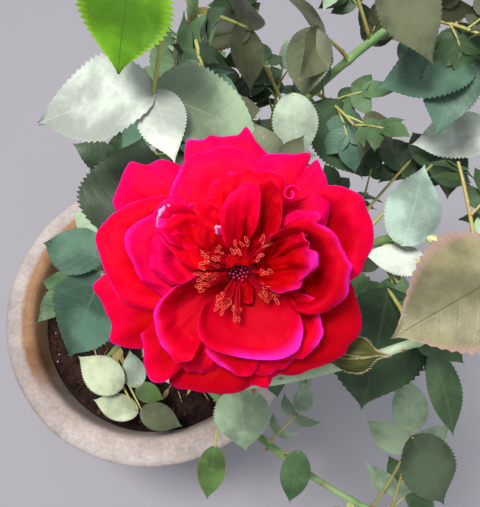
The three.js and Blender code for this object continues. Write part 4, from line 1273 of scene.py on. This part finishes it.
def petal_corners(
    rim, level, root, seed, cup=0, roll=0.001, crumple=0.0017, folds=0, frill=0, wall=(0, 1, 0)
):
    """One petal's surface: it fans out from a narrow claw to its lip, and waves and crumples on the way."""
    across, lip = PETAL_GRID[:, 0], PETAL_GRID[:, 1]
    angles, reaches = np.radians([a for a, _ in rim]), np.array([r for _, r in rim])
    lip_line = np.stack([reaches * np.cos(angles), reaches * np.sin(angles)], axis=1)
    walked = np.concatenate([[0], np.cumsum(np.linalg.norm(np.diff(lip_line, axis=0), axis=1))])
    walked /= walked[-1]
    angle, reach = np.interp(across, walked, angles), np.interp(across, walked, reaches)
    even_angle = np.polyval(np.polyfit(walked, angles, 1), across)
    even_reach = np.polyval(np.polyfit(walked, reaches, 2), across)
    fan = 0.3 + 0.7 * np.sin(np.minimum(lip / 0.7, 1) * np.pi / 2)
    middle = (angles[0] + angles[-1]) / 2
    heading = middle + (even_angle - middle) * fan + (angle - even_angle) * lip**4
    out = root[0] + (even_reach - root[0]) * lip + (reach - even_reach) * lip**4
    edge = 2 * across - 1
    control = 2 * level[0] - (root[1] + level[1]) / 2
    up = root[1] * (1 - lip) ** 2 + 2 * control * lip * (1 - lip) + level[1] * lip**2
    start, wide, high = wall
    climb = np.clip((lip - start) / wide, 0, 1)
    up = up + high * climb**2 * (3 - 2 * climb)
    up = up + cup * edge**2 * np.minimum(1, 1.6 * lip) - roll * (np.maximum(lip - 0.84, 0) / 0.16) ** 2

    def field(wide, deep, key):
        """Noise over the petal, by its fineness across and along it."""
        return np.array([noise.noise(Vector((a * wide, b * deep, key))) for a, b in zip(across, lip)])

    def waves(coarse, fine, key):
        return field(coarse, coarse * 0.7, key) + 0.6 * field(fine, fine * 0.7, key + 9)

    loose = crumple * (0.3 + 1.5 * lip**2)
    up = up + loose * waves(2.4, 10, seed * 7.3)
    out = out + 0.45 * loose * waves(5, 14, seed * 3.1)
    pleat = field(11, 2.6, seed * 5.7)
    up = up + folds * (1 - 2.6 * np.abs(pleat)) * np.sin(np.minimum(1.15 * lip, 1) * np.pi / 2) ** 2
    ruffle = field(26, 3, seed * 2.3)
    up = up + frill * ruffle * lip**4
    out = out + 0.6 * frill * ruffle * lip**4
    return on_bloom(np.stack([out * np.cos(heading), out * np.sin(heading), up], axis=1))


def scroll_corners(at, radii, turns, tall, lean):
    """The tip of an inner petal, rolled up into a scroll that opens to the sky."""
    across, lip = PETAL_GRID[:, 0], PETAL_GRID[:, 1]
    turn = across * turns * math.tau
    reach = mix(*radii, across) * (0.75 + 0.35 * lip)
    height = tall * (lip - 0.3 * across * (1 - across) - 0.25 * across * lip)
    aside = height - 0.5 * tall
    x = at[0] + reach * np.cos(turn) + lean[0] * aside
    y = at[1] + reach * np.sin(turn) + lean[1] * aside
    return on_bloom(np.stack([x, y, at[2] + height], axis=1))


def violet_edge(lit, band):
    """How violet each corner of a petal is, partly as painted highlight: most on the lip, where that catches
    the light.
    """
    start, end, strength = lit
    across, lip = PETAL_GRID[:, 0], PETAL_GRID[:, 1]
    rises = np.clip((across - start) / 0.12 + (start <= 0), 0, 1)
    falls = np.clip((end - across) / 0.12 + (end >= 1), 0, 1)
    on_lip = np.clip((lip - 1 + band) / band, 0, 1) ** 1.2
    side = np.clip(1 - np.minimum(across, 1 - across) / 0.05, 0, 1) * np.clip(2.5 * lip - 1.2, 0, 1)
    return strength * rises * falls * np.maximum(on_lip, 0.6 * side)


def petal_finish(name, lip_colour, colour, claw, hem_highlight_strength=0.7):
    """Velvet: painted shade that deepens the colour from the lip to the claw, faint veins that fan out, a
    violet edge that is partly painted highlight, and a soft sheen.
    """
    finish = Finish(
        name, Roughness=0.6, Specular_IOR_Level=0.03, Sheen_Weight=0.03, Sheen_Roughness=0.5,
        Sheen_Tint=paint(255, 20, 150), Subsurface_Weight=0.2, Subsurface_Radius=(0.005, 0.0004, 0.0008),
        Subsurface_Scale=1,
    )
    chart = finish.chart()
    outward = finish.add("SeparateXYZ", {0: chart})["Y"]
    fan = finish.noise(finish.stretched(chart, (30, 1.8, 1)), 1, 3)
    cloud = finish.group(mottle, Place=finish.place(), Patch=75, Grain=2200)
    # Lighter at the lip and darker towards the claw, in broad patches: painted shade of the petals above.
    drift = finish.plus(outward, finish.times(finish.maths("SUBTRACT", cloud["Patches"], 0.5), 0.7))
    base = finish.mixed(finish.between(drift, 0.1, 0.55), paint(*claw), paint(*colour))
    base = finish.tinted(base, drift, 0.62, 1.05, lip_colour)
    base = finish.tinted(base, fan, 0.52, 0.78, claw, 0.3)
    violet = finish.across()
    broken = finish.between(finish.noise(finish.place(), 90, 3), 0.3, 0.52, 0.35, 1)
    # A thin violet line along the lip: painted highlight, partly the petal's own violet margin.
    hem_highlight = finish.between(outward, 0.976, 0.998, 0, hem_highlight_strength)
    rim = finish.times(finish.maths("MAXIMUM", violet, hem_highlight), broken)
    base = finish.mixed(rim, base, paint(*VIOLET))
    relief = finish.plus(finish.times(fan, 0.8), finish.times(cloud["Grains"], 0.3))
    crinkle = finish.times(finish.noise(finish.place(), 520, 2), finish.times(violet, 3))
    return finish.wear(Base_Color=base, Normal=finish.bump(finish.plus(relief, crinkle), 0.3, 0.0005))


# Each look by its colours at the lip, on the blade and at the claw, and by how violet its lip's very edge is.
# The first look is the petals' plain red; the others are copies of it with painted light or painted shade.
PETAL_LOOKS = {
    "scarlet": ((226, 0, 48), (212, 0, 26), (164, 0, 14)),
    # A pinker copy for the petals that face the sky: painted sky sheen.
    "crimson": ((230, 0, 80), (220, 0, 46), (164, 0, 20)),
    # The next two looks are painted shade: in cups and in folds.
    "dark": ((208, 0, 46), (178, 0, 16), (144, 0, 12), 0.4),
    "folded": ((184, 0, 28), (162, 0, 16), (176, 0, 20), 0.1),
    # Pale pink-white petal tips: painted highlight.
    "bleached": ((250, 176, 226), (236, 60, 140), (176, 0, 20)),
    # The next three looks are painted shade: under other petals, on the low petals and in deep cups.
    "shaded": ((232, 0, 58), (178, 0, 14), (124, 0, 8)),
    "mellow": ((216, 0, 44), (192, 0, 34), (156, 0, 16), 0.3),
    "hollow": ((214, 0, 40), (160, 0, 14), (116, 0, 8), 0.5),
    # A brighter copy for the petal that catches the light and for the scroll: painted light.
    "glowing": ((246, 0, 66), (240, 0, 44), (214, 0, 30), 0.4),
}
petal_finishes = [petal_finish(f"{look} petal", *colours) for look, colours in PETAL_LOOKS.items()]
look_index = {look: i for i, look in enumerate(PETAL_LOOKS)}
number = 0
for part, layer in PETALS.items():
    petals = Gathered()
    for one in layer:
        number += 1
        one = dict(one)
        look, lit, band = look_index[one.pop("look")], one.pop("lit", (0, 1, 0.1)), one.pop("band", 0.05)
        corners = petal_corners(seed=number, **{"root": CLAW[part], **one})
        petals.add(corners, PETAL_FACES, look, PETAL_GRID, violet_edge(lit, band))
    if part == "inner":
        # A violet spot at the scroll's inner end: painted highlight.
        edge = violet_edge((0.55, 1, 0.9), 0.4)
        petals.add(scroll_corners(**SCROLL), PETAL_FACES, look_index["glowing"], PETAL_GRID, edge)
    piece = petals.piece(f"petals_{part}", petal_finishes, "petal", ["bloom_petals"])
    thick = piece.modifiers.new("thickness", "SOLIDIFY")
    thick.thickness = PETAL_THICKNESS
    thick.offset = 0
    smooth = piece.modifiers.new("smooth", "SUBSURF")
    smooth.levels = smooth.render_levels = 1

# The seat under the petals, and the hip with its sepals.
hip_outline = softened(
    [
        (0, -0.0183), (0.0026, -0.0183), (0.0062, -0.0115), (0.0049, -0.0063), (0.006, -0.0033),
        (0.0085, 0.0005), (0.007, 0.0045), (0, 0.0055),
    ],
    0.002, 0.002,
)
hip_shape = turned(hip_outline, 40)
bmesh.ops.transform(hip_shape, matrix=BLOOM_PLACE, verts=hip_shape.verts)
green = Finish("smooth green hip", Roughness=0.55, Specular_IOR_Level=0.2)
spot = green.place()
cloud, colour = green.mottled(spot, 80, 900, 0.35, 0.65, (120, 148, 62), (150, 168, 84))
height = green.add("SeparateXYZ", {0: spot})["Z"]
colour = green.tinted(colour, height, BLOOM_AT[2] - 0.001, BLOOM_AT[2] + 0.002, (160, 4, 24))
hip_finish = green.wear(Base_Color=colour, Normal=green.bump(cloud["Grains"], 0.3, 0.0004))
piece_of(hip_shape, "bloom_hip_skin", [hip_finish], ["bloom_hip"])

# The stamens: red threads with orange looped anthers, in uneven tufts round the dark maroon styles.
# Each tuft is its heading, its spread, its number of threads, and how far its nearest and its furthest one
# lean out.
TUFTS = [
    (156, 48, 24, 0.0085, 0.0148), (196, 30, 16, 0.009, 0.0155), (240, 24, 16, 0.009, 0.0158),
    (266, 12, 9, 0.012, 0.0192), (318, 24, 15, 0.008, 0.0165), (358, 12, 4, 0.007, 0.0115),
    (44, 30, 10, 0.006, 0.0152), (92, 44, 8, 0.006, 0.0118),
]
THREAD_FOOT = dict(out=0.0036, height=0.007)
THREAD_RADIUS = 0.00018
THREAD_STEPS = 5
LOOP_RADIUS = 0.00016
LOOP_WIDTH = 0.00042
LOOP_WARP = 0.0002
LOOP_TURNS = [k * math.tau / 9 for k in range(10)]
stamens = Gathered()
roll = dice(1234)
for heading, spread, count, near, far in TUFTS:
    for i in range(count):
        turn = math.radians(heading + spread * (roll() - 0.5))
        out = mix(near, far, roll() ** 0.8)
        top = around(turn, out, 0.0145 + 0.004 * roll() - 0.12 * out)
        knee = Vector((top.x * 0.55, top.y * 0.55, top.z + 0.001))
        thread = Path(around(turn, **THREAD_FOOT), knee, top).samples(THREAD_STEPS)
        rod(stamens, [BLOOM_PLACE @ Vector(p) for p in thread], [THREAD_RADIUS] * len(thread), 4, 0)
        lean = Matrix.Rotation(turn + 1.6 * (roll() - 0.5), 3, "Z")
        lean = lean @ Matrix.Rotation(0.9 * (roll() - 0.3), 3, "Y")
        long = 0.0009 + 0.0006 * roll()
        loop = [
            (long * math.cos(t), LOOP_WIDTH * math.sin(t), LOOP_WARP * math.sin(2 * t)) for t in LOOP_TURNS
        ]
        loop = [BLOOM_PLACE @ (top + lean @ Vector(p)) for p in loop]
        rod(stamens, loop, [LOOP_RADIUS] * len(loop), 4, 1)
STYLES = 26
STYLE_SPREAD = 0.003
STYLE_RADIUS = 0.0003
STIGMA_RADIUS = 0.00055
for i in range(STYLES):
    turn = i * math.radians(GOLDEN_ANGLE)
    out = STYLE_SPREAD * math.sqrt((i + 0.5) / STYLES)
    foot = BLOOM_PLACE @ around(turn, out, 0.005)
    top = BLOOM_PLACE @ around(turn, 1.25 * out, 0.0095 + 0.001 * roll())
    rod(stamens, [foot, foot.lerp(top, 0.5), top], [STYLE_RADIUS] * 3, 5, 2)
    stamens.add(PEBBLE * STIGMA_RADIUS + np.array(top), PEBBLE_FACES, 3)
heart_finishes = [
    grained("red stamen thread", 300, (158, 0, 20), (204, 4, 40), Roughness=0.6, Specular_IOR_Level=0.1),
    grained("orange anther", 900, (206, 44, 32), (240, 104, 80), [0.4, 0.0003], Roughness=0.7),
    grained("maroon style", 500, (140, 4, 24), (184, 14, 40), Roughness=0.5),
    grained("mauve stigma", 900, (140, 10, 46), (178, 44, 92), Roughness=0.5),
]
stamens.piece("stamens", heart_finishes, "stamen", ["bloom_heart"])

# The five sepals under the bloom: narrow green blades with a thin point, turned down.
SEPALS = 5
SEPAL_LENGTH, SEPAL_WIDTH = 0.024, 0.008
sepals = Gathered()
roll = dice(77)
spin = BLOOM_PLACE.to_3x3()
for i in range(SEPALS):
    turn = math.radians(20 + i * 360 / SEPALS)
    out = around(turn, 1, -0.35).normalized()
    foot = BLOOM_PLACE @ around(turn, 0.0025, -0.005)
    leaflet(sepals, PLAIN_BLADE, foot, spin @ out, spin @ UP, SEPAL_LENGTH, SEPAL_WIDTH, 0, roll)
sepals.piece("bloom_sepals", [leaf_finish("sepal", (132, 150, 78), (150, 90, 80))], "sepal", ["bloom_hip"])


# The bud: a plump green bud beside the bloom, shut in its five sepals, whose long points are fringed and
# tinged red, on a short stalk from the bloom's cane.
BUD_FROM = Vector((0.121, -0.0759, 0.6117))
BUD_TO = Vector((0.149, -0.0785, 0.6187))
BUD_RADIUS = 0.0067
# The bud's outline as shares of its radius and its length, and how far its sepals stand out at shares of its
# length.
BUD_OUTLINE = [
    (0.58, 0.13), (0.5, 0.19), (0.85, 0.32), (0.96, 0.45), (1, 0.54), (0.74, 0.67), (0.25, 0.75), (0, 0.77),
]
BUD_SEPALS = dict(
    shares=(0, 0.06, 0.12, 0.18, 0.3, 0.42, 0.52, 0.6, 0.66, 0.7, 0.74, 0.8, 0.93),
    reaches=(0.3, 0.34, 0.6, 0.55, 0.85, 0.97, 1, 0.93, 0.76, 0.52, 0.27, 0.12, 0.05),
)
bud_axis = BUD_TO - BUD_FROM
bud_length = bud_axis.length
bud_place = Matrix.Translation(BUD_FROM) @ bud_axis.to_track_quat("Z", "Y").to_matrix().to_4x4()
bud_outline = [(0, 0), (0.0021, 0), (0.0022, bud_length * 0.06)]
bud_outline += [(BUD_RADIUS * out, bud_length * up) for out, up in BUD_OUTLINE]
bud_shape = turned(softened(bud_outline, 0.003, 0.0015), 40)
bmesh.ops.transform(bud_shape, matrix=bud_place, verts=bud_shape.verts)
bud_green = Finish("bud green", Roughness=0.5)
cloud, colour = bud_green.mottled(bud_green.place(), 150, 900, 0.35, 0.65, (74, 72, 38), (104, 108, 52))
bud_finish = bud_green.wear(Base_Color=colour, Normal=bud_green.bump(cloud["Grains"], 0.3, 0.0004))
piece_of(bud_shape, "bud_body", [bud_finish], ["bud"])

# Each sepal hugs the bud from its neck to past its tip, where all five twist into a frayed point with hairs.
HAIRS_EACH = 3
HAIR_RADII = [0.00009, 0.00007, 0.00004]
SEPAL_CORNERS, SEPAL_FACES = grid_shape(8, 18)
bud_sepals = Gathered()
roll = dice(613)


def on_bud(turn, share, lift):
    """A point round the bud at a share of its length, lifted off its skin."""
    reach = np.interp(share, BUD_SEPALS["shares"], BUD_SEPALS["reaches"]) * BUD_RADIUS + lift
    return bud_place @ around(turn, reach, share * bud_length)


for i in range(SEPALS):
    middle = i * math.tau / SEPALS
    corners = []
    for across, along in SEPAL_CORNERS:
        share = mix(0.12, 0.94, along)
        half = math.radians(40) * math.cos(math.pi / 2 * min(1, max(0, along - 0.12) / 0.9)) ** 0.55 + 0.1
        aside = 2 * across - 1
        lift = (0.0005 + 0.00012 * (i % 2)) * (1 - 0.8 * along) + 0.0018 * aside**2 * along * (1 - along)
        turn = middle + half * aside + 0.5 * max(0, along - 0.7)
        corners.append(on_bud(turn, share, lift))
    edge = np.abs(2 * SEPAL_CORNERS[:, 0] - 1)
    bud_sepals.add(corners, [f[::-1] for f in SEPAL_FACES], i % 2, SEPAL_CORNERS, edge)
    for side in (0, 1):
        order = [k for k in np.lexsort((SEPAL_CORNERS[:, 1],)) if abs(SEPAL_CORNERS[k, 0] - side) < 0.01]
        rim = [corners[k] for k in order]
        for start, end in zip(rim[2:], rim[3:]):
            for _ in range(HAIRS_EACH):
                foot = start.lerp(end, roll())
                away = (foot - bud_place @ Vector((0, 0, 0.4 * bud_length))).normalized()
                way = (away + 0.8 * (end - start).normalized()).normalized()
                tip = foot + way * (0.0006 + 0.0008 * roll())
                rod(bud_sepals, [foot, foot.lerp(tip, 0.5), tip], HAIR_RADII, 3, 2)


def sepal_finish(name, colour, margin):
    """A sepal: lengthwise veins and a pale hairy margin."""
    finish = Finish(name, Roughness=0.55, Specular_IOR_Level=0.3)
    lines = finish.noise(finish.stretched(finish.chart(), (16, 1.2, 1)), 1, 3)
    base = finish.mixed(finish.between(lines, 0.4, 0.65), paint(*(c * 0.72 for c in colour)), paint(*colour))
    base = finish.tinted(base, finish.across(), 0.78, 1, margin, 0.8)
    return finish.wear(Base_Color=base, Normal=finish.bump(lines, 0.3, 0.0003))


bud_sepal_finishes = [
    sepal_finish("olive sepal", (88, 92, 40), (176, 170, 118)),
    sepal_finish("shaded sepal", (96, 96, 42), (150, 140, 92)),
    grained("sepal hair", 400, (170, 146, 104), (206, 200, 152), Roughness=0.6),
]
bud_sepals.piece("bud_sepals", bud_sepal_finishes, "sepal", ["bud"])

BUD_STALK_RADIUS = 0.0019
bud_way = bud_axis.normalized()
stalk_end = BUD_FROM - bud_way * 0.0003
stalk_points = Path(paths["bloom"].at(0.72), stalk_end - bud_way * 0.03, stalk_end).samples(20)
bud_stalk = Gathered()
rod(bud_stalk, stalk_points, [BUD_STALK_RADIUS] * len(stalk_points), 10)
bud_stalk.piece("bud_stalk", [cane_finish], "green_cane")


# The stand: a plain pale floor, soft studio light and a camera that looks down on the bloom as the photo
# does.
FLOOR_SIZE = 8
floor_shape = bmesh.new()
bmesh.ops.create_grid(floor_shape, x_segments=1, y_segments=1, size=FLOOR_SIZE / 2)
floor_mesh = mesh_of(floor_shape, "floor")
paving_finish = grained("plain pale floor", 3, (170, 166, 172), (177, 173, 178), detail=2, Roughness=0.9)
floor_mesh.materials.append(paving_finish)
floor = shown("floor", floor_mesh)

LIGHT_TARGET = Vector((0.06, 0, 0.45))


def studio_light(name, way, distance, size, power, colour):
    """A soft square lamp in a direction from the bush, turned to face it."""
    lamp = bpy.data.lights.new(name, "AREA")
    lamp.size = size
    lamp.energy = power
    lamp.color = colour
    light = shown(name, lamp)
    light.location = LIGHT_TARGET + Vector(way).normalized() * distance
    light.rotation_euler = Vector(way).to_track_quat("Z", "Y").to_euler()


studio_light("key", (-0.26, 0.13, 1), 1.8, 0.5, 34, (1, 0.985, 0.96))
studio_light("fill", (0.8, -0.7, 0.6), 2.0, 1.6, 5, (0.92, 0.95, 1))
studio_light("top", (0.1, 0.2, 1), 2.2, 1.4, 6, (0.94, 0.96, 1))
world = bpy.data.worlds.new("studio")
world.use_nodes = True
sky = world.node_tree.nodes["Background"].inputs
sky["Color"].default_value = (0.86, 0.92, 1, 1)
sky["Strength"].default_value = 0.42
bpy.context.scene.world = world
bpy.context.scene.view_settings.view_transform = "Standard"

lens = bpy.data.cameras.new("camera")
lens.sensor_width = 36
lens.lens = FOCAL_PIXELS / PHOTO_HEIGHT * lens.sensor_width
lens.clip_start = 0.01
camera = shown("camera", lens)
camera.location = CAMERA_AT
camera.rotation_euler = (CAMERA_PITCH, 0, 0)
bpy.context.scene.camera = camera
